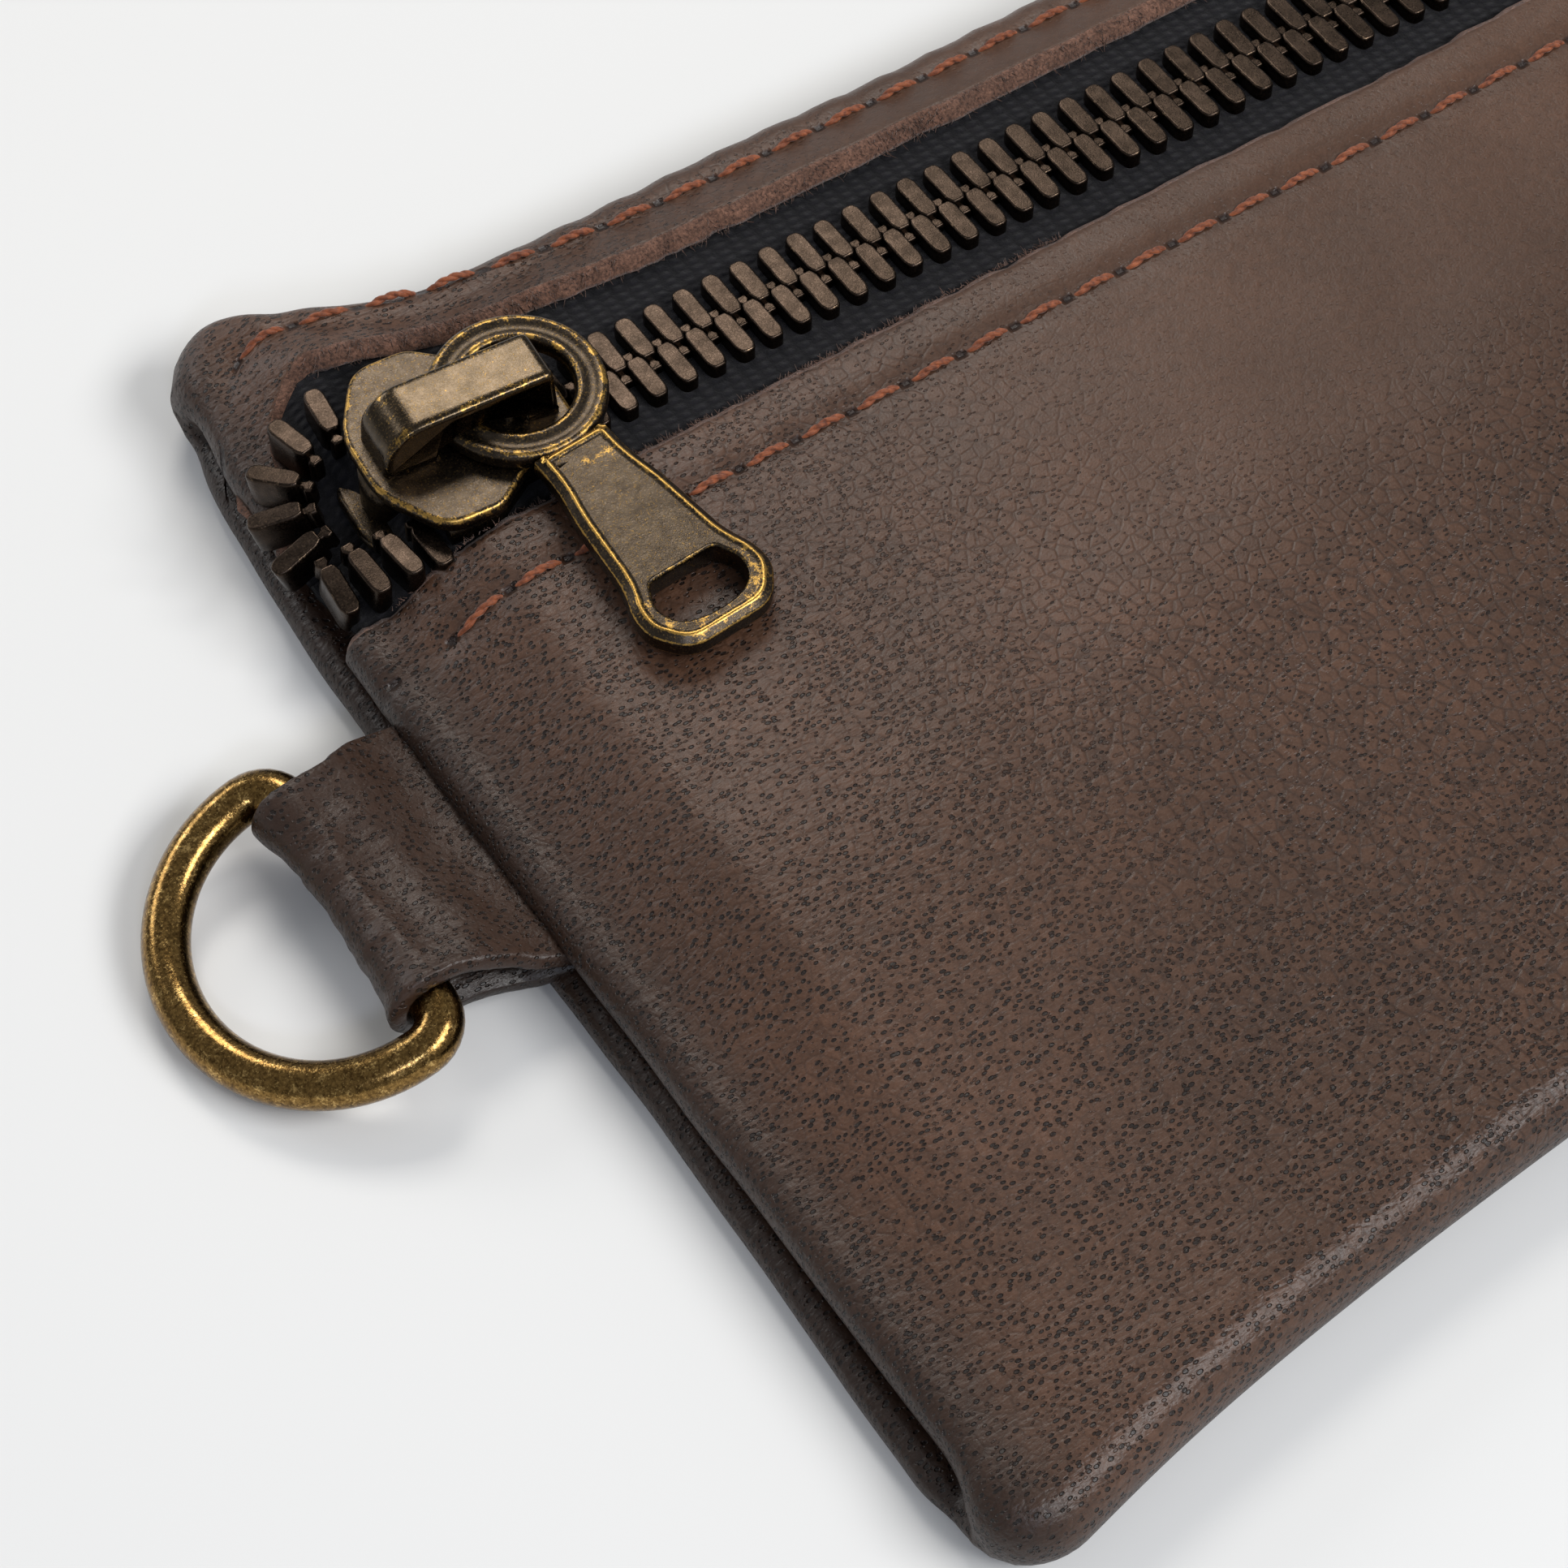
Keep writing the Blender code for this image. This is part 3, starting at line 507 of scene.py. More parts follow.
fibre_points, fibre_faces = [], []
for n in range(2300):
    on_strip = n % 4 != 0
    x = chance.uniform(-98.0, 98.0) if n % 2 else chance.uniform(-98.0, -40.0)
    depth = chance.uniform(0.15, 1.3)
    edge_y = strip_edge(x) - 0.2 - 0.7 * depth if on_strip else FRONT_EDGE_Y + 0.2 + 0.7 * depth
    heading = (chance.uniform(-0.9, 0.9), -1.0 if on_strip else 1.0, chance.uniform(-0.5, 0.4))
    root = (x, edge_y, leather_height(x, FRONT_EDGE_Y - 1.0) - depth)
    points, faces = loose_fibre(root, heading, chance.uniform(0.25, 0.75 if on_strip else 0.55))
    start = len(fibre_points)
    fibre_points += points
    fibre_faces += [tuple(start + i for i in face) for face in faces]
loose = make_mesh("raw_edge_fibres", fibre_points, fibre_faces, suede)
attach(loose, "pouch")

# ---------------------------------------------------------------------------------------------------------
# Ring tab.
# A strip of the same calf, folded round the D-ring's bar. Both its ends are caught in the side seam, and the
# ring is narrower than the strip, so the leather bunches where it bends.

TAB_Y = 9.0
BAR_X, BAR_Z = -111.5, 5.0


def smooth_route(points, per_span):
    """A smooth curve through the points (Catmull-Rom), with per_span steps between neighbours."""
    points = [Vector(p) for p in points]
    padded = [2.0 * points[0] - points[1]] + points + [2.0 * points[-1] - points[-2]]
    route = []
    for a, b, c, d in zip(padded, padded[1:], padded[2:], padded[3:]):
        for step in range(per_span):
            t = step / per_span
            route.append(
                0.5 * (2.0 * b + (c - a) * t + (2.0 * a - 5.0 * b + 4.0 * c - d) * t * t)
                + 0.5 * (3.0 * b - a - 3.0 * c + d) * t**3
            )
    return route + [points[-1]]


def build_tab():
    """Outer face of the tab, from the seam out over the bar and back under it."""
    loop = 3.25
    bend = [math.radians(66.0 + 228.0 * k / 8) for k in range(9)]
    section = [(-98.6, 4.3), (-101.2, 4.7), (-104.2, 5.6), (-107.4, 7.2)]
    section += [(BAR_X + loop * math.cos(a), BAR_Z + loop * math.sin(a)) for a in bend]
    section += [(-107.4, 2.2), (-104.2, 1.75), (-101.2, 2.0), (-98.6, 2.2)]
    route = smooth_route([(x, 0.0, z) for x, z in section], 6)
    across = 44
    points, faces = [], []
    for n, p in enumerate(route):
        ahead, behind = route[min(n + 1, len(route) - 1)], route[max(n - 1, 0)]
        along = (ahead - behind).normalized()
        out = Vector((along.z, 0.0, -along.x))
        t = min(1.0, max(0.0, (p.x + 109.5) / 10.0))
        half = 9.15 + 2.2 * ease(0.0, 1.0, t)
        near_bar = ease(-105.5, -110.5, p.x)
        for k in range(across + 1):
            u = 2.0 * k / across - 1.0
            y = TAB_Y + half * u + 1.1 * max(0.0, u) ** 2 * bell(p.x, -105.5, 3.2)
            bunch = near_bar * (
                0.10 * ripple(p.x * 0.25, y, 1.3, 25.0) + 0.03 * math.sin(3.1 * y + 1.5 * math.sin(y))
            )
            bunch -= 0.9 * near_bar * (1.0 - abs(u) ** 3)
            bunch += 0.16 * ripple(p.x, y, 2.2, 21.0) + 0.25 * ripple(p.x * 0.6, y, 6.0, 23.0)
            dip = -0.75 * bell(u, 0.15, 0.55) * bell(p.x, -106.0, 3.4) * (p.z > 3.4)
            lift = out * (bunch * ease(-99.0, -103.0, p.x) + dip)
            points.append((p.x + lift.x, y, max(LOWEST, p.z + lift.z)))
    for n in range(len(route) - 1):
        for k in range(across):
            a = n * (across + 1) + k
            faces.append((a, a + 1, a + across + 2, a + across + 1))
    return points, faces


tab_points, tab_faces = build_tab()
tab = make_mesh("ring_tab", tab_points, tab_faces, calf, suede)
cut_edge(tab, 1.2, 2.2, 0.05, 0)
places = np.array([v.co for v in tab.data.vertices]) / MM
paint(tab, "pricked", np.full(len(places), 0.9))
paint(tab, "pebbled", np.full(len(places), 0.4))
paint(tab, "from_seam", np.full(len(places), 9.0))
# Painted shade: the whole tab is darkened, most towards its root under the pouch's roll and on its lower
# layer near the table.
paint(
    tab,
    "painted_shade",
    [min(1.0, 0.62 + 0.4 * ease(-103.5, -100.5, x) + 0.5 * ease(4.5, 2.5, z)) for x, y, z in places],
)
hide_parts("dring_tab")
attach(tab, "pouch")

# ---------------------------------------------------------------------------------------------------------
# D-ring.
# Brass-plated wire, 3.4 mm thick, bent to a D. It was blackened and then tumbled, so golden brass shows
# through the dark mottling wherever something rubs it.

WIRE = 3.4
RING_WIDTH, RING_DEPTH = 24.0, 13.9


def tube(points, radius, sides, closed=False):
    """Points and faces of a round wire along a route."""
    route = [Vector(p) for p in points]
    count = len(route)
    rings, faces = [], []
    side = None
    for n, p in enumerate(route):
        ahead = route[(n + 1) % count] if closed else route[min(n + 1, count - 1)]
        behind = route[n - 1] if closed else route[max(n - 1, 0)]
        along = (ahead - behind).normalized()
        if side is None:
            side = along.orthogonal().normalized()
        side = (side - along * side.dot(along)).normalized()
        other = along.cross(side)
        for k in range(sides):
            a = 2.0 * math.pi * k / sides
            rings.append(p + (side * math.cos(a) + other * math.sin(a)) * radius)
    for n in range(count if closed else count - 1):
        m = (n + 1) % count
        for k in range(sides):
            j = (k + 1) % sides
            faces.append((n * sides + k, n * sides + j, m * sides + j, m * sides + k))
    if not closed:
        faces.append(tuple(range(sides))[::-1])
        faces.append(tuple(range((count - 1) * sides, count * sides)))
    return rings, faces


def antique_brass(name, patina, stain, brass, mottling, specks, rough, dents=0.2):
    """Blackened brass: dark patina with stains, and bare metal where the surface is painted as rubbed."""
    metal, tree, shader = new_material(name, Metallic=1.0)
    where = add(tree, "TexCoord").outputs["Object"]
    cloud = add(
        tree, "TexNoise", {"Vector": where, "Scale": 1000.0 / mottling, "Detail": 6.0, "Roughness": 0.7}
    )
    grains = add(tree, "TexNoise", {"Vector": where, "Scale": 6500.0, "Detail": 2.0, "Roughness": 0.6})
    patch = add(tree, "TexNoise", {"Vector": where, "Scale": 1300.0, "Detail": 3.0, "Roughness": 0.6})
    rubbed = add(tree, "Attribute", attribute_name="rubbed").outputs["Fac"]
    uneven = add(tree, "MapRange", {"Value": patch.outputs["Fac"], 1: 0.3, 2: 0.7, 3: -0.32, 4: 0.32})
    fine = add(tree, "MapRange", {"Value": grains.outputs["Fac"], 1: 0.3, 2: 0.7, 3: -0.22, 4: 0.22})
    wear = add(tree, "Math", {0: rubbed, 1: uneven.outputs[0]}, operation="ADD")
    wear = add(tree, "Math", {0: wear.outputs[0], 1: fine.outputs[0]}, operation="ADD")
    bare = add(tree, "MapRange", {"Value": wear.outputs[0], 1: 0.45, 2: 0.75})
    stained = add(tree, "MapRange", {"Value": cloud.outputs["Fac"], 1: 0.38, 2: 0.62})
    base = add(tree, "Mix", {0: stained.outputs[0], 6: linear(patina), 7: linear(stain)}, data_type="RGBA")
    speck = add(tree, "MapRange", {"Value": grains.outputs["Fac"], 1: 0.58, 2: 0.70, 3: 0.0, 4: specks})
    base = add(tree, "Mix", {0: speck.outputs[0], 6: base.outputs[2], 7: linear(brass)}, data_type="RGBA")
    base = add(tree, "Mix", {0: bare.outputs[0], 6: base.outputs[2], 7: linear(brass)}, data_type="RGBA")
    tree.links.new(base.outputs[2], shader.inputs["Base Color"])
    matt = add(
        tree,
        "MapRange",
        {"Value": grains.outputs["Fac"], 1: 0.3, 2: 0.7, 3: rough - 0.06, 4: rough + 0.12},
    )
    tree.links.new(matt.outputs[0], shader.inputs["Roughness"])
    skin = add(tree, "Bump", {"Strength": 0.3, "Distance": 0.00003, "Height": grains.outputs["Fac"]})
    skin = add(
        tree,
        "Bump",
        {"Strength": dents, "Distance": 0.00012, "Height": cloud.outputs["Fac"], "Normal": skin.outputs[0]},
    )
    tree.links.new(skin.outputs[0], shader.inputs["Normal"])
    return metal


# Tumbling leaves the ring mostly bright, with short dark streaks of patina.
ring_metal = antique_brass("tumbled_golden_brass", "#574123", "#967644", "#cfab6c", 0.3, 0.3, 0.17, 0.02)
half, straight = RING_WIDTH / 2.0, 2.4
route = []
for k in range(49):
    a = math.radians(90.0 + 180.0 * k / 48)
    route.append((-straight + (RING_DEPTH - straight) * math.cos(a), half * math.sin(a), 0.0))
for centre_y, start in ((straight - half, 281.25), (half - straight, 0.0)):
    for k in range(8):
        a = math.radians(start + 11.25 * k)
        route.append((straight * (math.cos(a) - 1.0), centre_y + straight * math.sin(a), 0.0))
ring_points, ring_faces = tube(route, WIRE / 2.0, 28, closed=True)
dip = math.asin((BAR_Z - WIRE / 2.0 - 0.02) / RING_DEPTH)
lie = Matrix.Translation((BAR_X, TAB_Y, BAR_Z)) @ Matrix.Rotation(-dip, 4, "Y")
ring = make_mesh("d_ring_wire", [lie @ p for p in ring_points], ring_faces, ring_metal)
face_out(ring)
paint(ring, "rubbed", np.full(len(ring.data.vertices), 0.34))
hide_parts("d_ring")
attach(ring, "ring")

# ---------------------------------------------------------------------------------------------------------
# Zipper tapes.
# Two black woven polyester tapes, sewn under the leather. They lie level in the window. Past the slider's
# nose they turn down into the side seam.

TAPE_Z = 9.4
TAPE_END = 100.3


def build_tape(side):
    """Upper face of one tape, from its edge under the teeth to the leather that it is sewn to."""
    stations = spaced((-TAPE_END, -88.0, 26), (-88.0, 88.0, 88), (88.0, TAPE_END, 18))
    across = 16
    points, faces = [], []
    for x in stations:
        outer = strip_edge(x) + 4.0 if side > 0.0 else FRONT_EDGE_Y - 6.0
        outer = min(outer, top_rim(x) + 0.5)
        inner = ZIP_Y + side * (1.1 - 0.9 * ease(-91.0, -95.0, x))
        for k in range(across + 1):
            y = inner + (outer - inner) * k / across
            ceiling = leather_height(x, y) - 1.75
            dive = 3.4 * ease(92.0, 100.5, abs(x)) + 2.2 * ease(-92.0, -95.5, x) * ease(
                6.0, 1.0, abs(y - ZIP_Y)
            )
            z = TAPE_Z - dive + 0.10 * ripple(x, y, 3.0, 31.0) + 0.12 * ripple(x, y, 11.0, 33.0)
            covered = ease(0.0, 2.5, side * (y - (strip_edge(x) if side > 0.0 else FRONT_EDGE_Y)))
            points.append((x, y, min(z, ceiling) if covered > 0.0 else z))
    for n in range(len(stations) - 1):
        for k in range(across):
            a = n * (across + 1) + k
            quad = (a, a + across + 1, a + across + 2, a + 1)
            faces.append(quad if side > 0.0 else quad[::-1])
    return points, faces


# Woven polyester is matt, and its ribs run across the tape every 1.2 mm.
weave, tree, shader = new_material(
    "woven_black_polyester", Roughness=0.9, Specular_IOR_Level=0.2, Sheen_Weight=0.06
)
shader.inputs["Sheen Roughness"].default_value = 0.5
where = add(tree, "TexCoord").outputs["Object"]
ribs = add(
    tree,
    "TexWave",
    {"Vector": where, "Scale": 260.0, "Distortion": 1.2, "Detail": 2.0, "Detail Scale": 3.0},
)
picks = add(
    tree,
    "TexWave",
    {"Vector": where, "Scale": 420.0, "Distortion": 1.5, "Detail": 2.0},
    bands_direction="Y",
)
lint = add(tree, "TexNoise", {"Vector": where, "Scale": 3600.0, "Detail": 4.0, "Roughness": 0.75})
cloth = add(tree, "Math", {0: ribs.outputs["Fac"], 1: picks.outputs["Fac"]}, operation="MULTIPLY")
cloth = add(tree, "Math", {0: cloth.outputs[0], 1: lint.outputs["Fac"], 2: -0.25}, operation="ADD")
hue = add(tree, "Mix", {0: cloth.outputs[0], 6: linear("#040405"), 7: linear("#1a191d")}, data_type="RGBA")
tree.links.new(hue.outputs[2], shader.inputs["Base Color"])
rise = add(tree, "Bump", {"Strength": 0.9, "Distance": 0.0002, "Height": cloth.outputs[0]})
tree.links.new(rise.outputs[0], shader.inputs["Normal"])

for side, word in ((1.0, "upper"), (-1.0, "lower")):
    tape_points, tape_faces = build_tape(side)
    tape = make_mesh(f"woven_tape_{word}", tape_points, tape_faces, weave)
    cut_edge(tape, 0.5, 0.8, 0.03, 0)
    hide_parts(f"zipper_tape_{word}")
    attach(tape, "pouch")

# ---------------------------------------------------------------------------------------------------------
# Zipper teeth.
# Stamped brass teeth with an antique finish, clenched on the tapes' edges every 2.5 mm. Each has a long body
# with a rounded outer end, a narrow neck and a small head that hooks between two teeth of the other row.

PITCH = 2.5
FIRST_TOOTH_X, LAST_TOOTH_X = -84.0, 95.0
TOOTH_Z = 9.15


def inset_outline(outline, depth):
    """The outline moved inwards by depth. It runs anticlockwise."""
    moved = []
    for n, p in enumerate(outline):
        before, after = Vector(outline[n - 1]), Vector(outline[(n + 1) % len(outline)])
        p = Vector(p)
        one, two = (p - before).normalized(), (after - p).normalized()
        inward = Vector((-one.y - two.y, one.x + two.x))
        inward = inward.normalized() / max(0.45, inward.length / 2.0)
        moved.append(p + inward * depth)
    return moved


def ringed(outline, steps, place):
    """A solid from rings of an outline, and how rubbed it is. Each step is (inset, level, rubbed)."""
    count = len(outline)
    points, faces, rubbed = [], [], []
    for depth, level, worn in steps:
        points += [place(p[0], p[1], level) for p in inset_outline(outline, depth)]
        rubbed += [worn] * count
    for ring_number in range(len(steps) - 1):
        low, high = ring_number * count, (ring_number + 1) * count
        faces += [(low + i, low + (i + 1) % count, high + (i + 1) % count, high + i) for i in range(count)]
    faces.append(tuple(reversed(range(count))))
    faces.append(tuple(range((len(steps) - 1) * count, len(steps) * count)))
    return points, faces, rubbed


def filleted(corners, steps=4):
    """An outline from (u, v, radius) corners, each rounded by its radius."""
    outline = []
    for n, (u, v, radius) in enumerate(corners):
        p = Vector((u, v))
        back = (Vector(corners[n - 1][:2]) - p)
        on = (Vector(corners[(n + 1) % len(corners)][:2]) - p)
        reach = min(radius, 0.48 * back.length, 0.48 * on.length)
        if reach < 1e-4:
            outline.append((u, v))
            continue
        start, end = p + back.normalized() * reach, p + on.normalized() * reach
        for k in range(steps + 1):
            t = k / steps
            q = start * (1 - t) ** 2 + p * 2 * t * (1 - t) + end * t**2
            outline.append((q.x, q.y))
    return outline


def flat(u, v, level):
    """An outline in plan, built upwards."""
    return Vector((u, v, level))


def join_solids(parts):
    """One mesh from several lists of points, faces and rubbed values."""
    points, faces, rubbed = [], [], []
    for more_points, more_faces, more_rubbed in parts:
        start = len(points)
        points += list(more_points)
        faces += [tuple(start + i for i in face) for face in more_faces]
        rubbed += list(more_rubbed)
    return points, faces, rubbed


def tooth_solid():
    """One tooth, with its head's tip at v = 0 and its body along +v. The head and neck are lower."""
    body = [(0.5, 1.0, 0.2), (0.78, 1.6, 0.3), (0.8, 4.5, 0.6), (0.5, 5.15, 0.35)]
    head = [(0.45, 0.0, 0.12), (0.55, 0.5, 0.1), (0.3, 0.8, 0.1), (0.3, 1.7, 0.05)]
    parts = []
    for corners, high in ((body, 1.5), (head, 1.0)):
        outline = filleted(corners + [(-u, v, r) for u, v, r in reversed(corners)], 4)
        steps = [
            (0.2, -high, 0.0),
            (0.06, -high + 0.12, 0.0),
            (0.0, -high + 0.3, 0.0),
            (0.0, high - 0.26, 0.0),
        ]
        steps += [(0.03, high - 0.12, 0.2), (0.10, high - 0.02, 0.3), (0.16, high, 0.15), (0.22, high, 0.0)]
        parts.append(ringed(outline, steps, flat))
    return join_solids(parts)


def place_tooth(tooth, row, move):
    """Adds a tooth to a growing mesh."""
    points, faces, rubbed = row
    start = len(points)
    points.extend(move @ p for p in tooth[0])
    faces.extend(tuple(start + i for i in face) for face in tooth[1])
    rubbed.extend(tooth[2])


# The teeth were blackened all over and never rubbed bright: brown with a dull satin gleam.
tooth_metal = antique_brass("blackened_tooth_brass", "#2f2721", "#433830", "#8a745e", 1.5, 0.15, 0.3, 0.1)
tooth = tooth_solid()
for side, shift, word in ((1.0, 0.0, "upper"), (-1.0, PITCH / 2.0, "lower")):
    row_parts = ([], [], [])
    x = FIRST_TOOTH_X + shift
    while x <= LAST_TOOTH_X:
        lean = 0.03 * ripple(x, 0.0, 4.0, 41.0)
        turn = Matrix.Rotation(lean + (0.0 if side > 0.0 else math.pi), 4, "Z")
        rock = Matrix.Rotation(0.04 * ripple(x, 5.0, 3.0, 43.0), 4, "X")
        spot = Matrix.Translation((x, ZIP_Y - side * 1.25, TOOTH_Z + 0.05 * ripple(x, 2.0, 3.0, 45.0)))
        place_tooth(tooth, row_parts, spot @ turn @ rock)
        x += PITCH
    row = make_mesh(f"closed_teeth_{word}", row_parts[0], row_parts[1], tooth_metal)
    face_out(row)
    paint(row, "rubbed", row_parts[2])
    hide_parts(f"teeth_row_{word}")
    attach(row, "pouch")

# Ahead of the slider the last teeth stand open in a U, with their heads turned in and the far ones lower.
# Each has the place of its head's tip, the heading of its body in degrees, and its tilt in radians.
open_teeth = {
    "upper_1": (-94.3, 40.3, 9.3, 84.0, 0.0),
    "upper_2": (-96.4, 39.6, 9.2, 101.0, 0.08),
    "upper_3": (-97.6, 38.2, 8.8, 128.0, 0.15),
    "upper_4": (-98.0, 36.9, 8.3, 158.0, 0.25),
    "upper_5": (-97.9, 35.4, 7.6, 186.0, 0.3),
    "lower_1": (-93.6, 31.9, 8.9, 272.0, 0.0),
    "lower_2": (-96.0, 32.4, 8.8, 276.0, 0.0),
    "lower_3": (-98.3, 33.0, 8.4, 274.0, 0.1),
    "lower_4": (-100.2, 33.6, 7.6, 268.0, 0.2),
}
for word, (x, y, z, heading, drop) in open_teeth.items():
    turn = Matrix.Rotation(math.radians(heading - 90.0), 4, "Z") @ Matrix.Rotation(-drop, 4, "X")
    single_parts = ([], [], [])
    place_tooth(tooth, single_parts, Matrix.Translation((x, y, z)) @ turn)
    single = make_mesh(f"open_tooth_{word}", single_parts[0], single_parts[1], tooth_metal)
    face_out(single)
    paint(single, "rubbed", single_parts[2])
    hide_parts(f"end_tooth_{word}")
    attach(single, "pouch")

# ---------------------------------------------------------------------------------------------------------
# Slider.
# Cast zinc with an antique brass finish: two plates on a dividing post, flanges that hold the teeth in, and
# a bridge-shaped crown over the top plate. Rubbing has laid bare golden brass along every edge. The slider
# hangs a few degrees askew on the chain.

slider_metal = antique_brass("rubbed_slider_brass", "#3a332c", "#4b4238", "#b58f4c", 0.9, 0.35, 0.30)
TOP_PLATE_Z, BOTTOM_PLATE_Z = 11.25, 6.25
PLATE_TOP = 12.5
askew = Matrix.Translation((-80.5, ZIP_Y, 0.0)) @ Matrix.Rotation(math.radians(-5.0), 4, "Z")
askew = askew @ Matrix.Translation((80.5, -ZIP_Y, 0.0))


def slider_outline(wing, rear, nose):
    """Shield with two wings ahead of a narrower rear that is as wide as the closed chain."""
    half_outline = [(-79.4, rear, 1.0), (-84.4, rear + 0.6, 1.6), (-87.5, wing, 0.9), (-91.9, wing, 1.7)]
    half_outline += [(nose, 3.0, 1.8)]
    upper = [(x, ZIP_Y + y, r) for x, y, r in half_outline]
    lower = [(x, ZIP_Y - y, r) for x, y, r in reversed(half_outline)]
    return filleted(upper + lower, 7)


def rounded_plate(low, high):
    """Steps of a plate with rounded edges, rubbed along its upper rim."""
    steps = [(0.3, low, 0.1), (0.08, low + 0.1, 0.3), (0.0, low + 0.3, 0.2), (0.0, high - 0.42, 0.3)]
    steps += [(0.05, high - 0.22, 0.6), (0.16, high - 0.07, 0.8), (0.32, high, 0.5), (0.46, high, 0.12)]
    return steps + [(0.62, high, 0.06)]


def flange(side, wing, low, high):
    """One side wall of the slider, 0.9 mm thick."""
    outer = [(-79.6, 4.9), (-84.4, 5.4), (-87.8, wing), (-91.6, wing)]
    inner = [(x, y - 0.9) for x, y in reversed(outer)]
    outline = [(x, ZIP_Y + side * y) for x, y in outer + inner]
    if side > 0.0:
        outline.reverse()
    return ringed(outline[::-1] if side < 0.0 else outline, [(0.0, low, 0.1), (0.0, high, 0.1)], flat)


# The bottom plate lies under the tapes, so it is rubbed less.
hidden_steps = [(d, z, 0.3 * worn) for d, z, worn in rounded_plate(BOTTOM_PLATE_Z, 7.35)]
parts = [
    ringed(slider_outline(8.1, 5.0, -95.0), rounded_plate(TOP_PLATE_Z + 0.05, PLATE_TOP), flat),
    ringed(slider_outline(7.4, 5.0, -96.2), hidden_steps, flat),
]
post = [
    (-92.6 - 2.4 * math.sin(a), ZIP_Y + 2.4 * math.cos(a))
    for a in [math.pi * k / 14 for k in range(15)]
]
post += [(-90.6, ZIP_Y - 1.3), (-88.2, ZIP_Y), (-90.6, ZIP_Y + 1.3)]
parts.append(ringed(post, [(0.0, 7.1, 0.0), (0.0, 11.5, 0.0)], flat))
for side in (1.0, -1.0):
    parts.append(flange(side, 7.7, 9.8, 11.6))
    parts.append(flange(side, 7.0, 7.1, 8.6))
slider_points, slider_faces, slider_rubbed = join_solids(parts)
slider = make_mesh("slider_casting", [askew @ Vector(p) for p in slider_points], slider_faces, slider_metal)
face_out(slider)
paint(slider, "rubbed", slider_rubbed)
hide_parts("slider_body")
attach(slider, "slider")


def upright(u, v, level):
    """An outline in the XZ plane, built along Y."""
    return Vector((u, level, v))


crown_corners = [
    (-93.9, 12.3, 0.2), (-93.7, 14.9, 1.1), (-91.9, 16.55, 1.3), (-80.5, 16.6, 0.7), (-80.2, 12.3, 0.1)
]
crown_corners += [(-83.2, 12.3, 0.1), (-83.5, 15.2, 0.9), (-88.9, 15.3, 0.9), (-89.6, 12.3, 0.1)]
crown_outline = filleted(crown_corners, 6)
half_width = 2.3
edge_steps = [(0.62, 0.0, 0.0), (0.46, 0.0, 0.1), (0.24, 0.05, 0.32), (0.08, 0.2, 0.44), (0.0, 0.45, 0.36)]
edge_steps.append((0.0, 0.75, 0.1))
crown_steps = [(depth, ZIP_Y - half_width + back, worn) for depth, back, worn in edge_steps]
crown_steps.append((0.0, ZIP_Y, 0.08))
crown_steps += [(depth, ZIP_Y + half_width - back, worn) for depth, back, worn in reversed(edge_steps)]
crown_points, crown_faces, crown_rubbed = ringed(crown_outline[::-1], crown_steps, upright)

# The crown is touched most, so its patina is thinner and shinier.
crown_metal = antique_brass("handled_crown_brass", "#3c342a", "#4c4236", "#ab8748", 1.4, 0.25, 0.2, 0.03)
crown = make_mesh("slider_bridge", [askew @ p for p in crown_points], crown_faces, crown_metal)
face_out(crown)
crown_rubbed = [
    worn + 0.14 * bell(p.x, -92.2, 0.6) * (p.z > 14.5) + 0.1 * bell(p.x, -80.6, 0.5) * (p.z > 15.5)
    for worn, p in zip(crown_rubbed, crown_points)
]
paint(crown, "rubbed", crown_rubbed)
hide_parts("slider_crown")
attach(crown, "slider")

# ---------------------------------------------------------------------------------------------------------
# Lock pawl.
# A leaf of bare spring steel under the crown, whose toe goes down through the top plate towards the teeth.

spring, tree, shader = new_material("bare_spring_steel", Metallic=1.0)
where = add(tree, "TexCoord").outputs["Object"]
drawn = add(tree, "TexNoise", {"Vector": where, "Scale": 2600.0, "Detail": 3.0})
tint = add(
    tree, "Mix", {0: drawn.outputs["Fac"], 6: linear("#8d8579"), 7: linear("#c4bcae")}, data_type="RGBA"
)
tree.links.new(tint.outputs[2], shader.inputs["Base Color"])
gloss = add(tree, "MapRange", {"Value": drawn.outputs["Fac"], 3: 0.22, 4: 0.4})
tree.links.new(gloss.outputs[0], shader.inputs["Roughness"])
pawl_corners = [(-91.0, 14.65, 0.1), (-91.0, 14.95, 0.1), (-83.6, 14.95, 0.4), (-83.6, 11.05, 0.1)]
pawl_corners += [(-84.1, 11.05, 0.1), (-84.4, 14.65, 0.4)]
pawl_steps = [(0.05, -1.2, 0.0), (0.0, -1.1, 0.0), (0.0, 1.1, 0.0), (0.05, 1.2, 0.0)]
pawl_steps = [(depth, ZIP_Y + level, worn) for depth, level, worn in pawl_steps]
pawl_points, pawl_faces, _ = ringed(filleted(pawl_corners, 4)[::-1], pawl_steps, upright)
pawl = make_mesh("spring_leaf", pawl_points, pawl_faces, spring)
face_out(pawl)
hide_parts("lock_pawl")
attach(pawl, "pawl")

# ---------------------------------------------------------------------------------------------------------
# Pull.
# One zinc casting in the slider's finish: a flat ring with two beads, and a paddle that flares to a thick
# rounded end with a D-shaped opening. Chamfers run down both long edges and round the end.

RING_X, RING_Z = -82.5, 13.55
pull_place = Matrix.Translation((RING_X, ZIP_Y, RING_Z))
pull_place = pull_place @ Matrix.Rotation(math.radians(2.5), 4, "X") @ Matrix.Rotation(
    math.radians(3.8), 4, "Z"
)


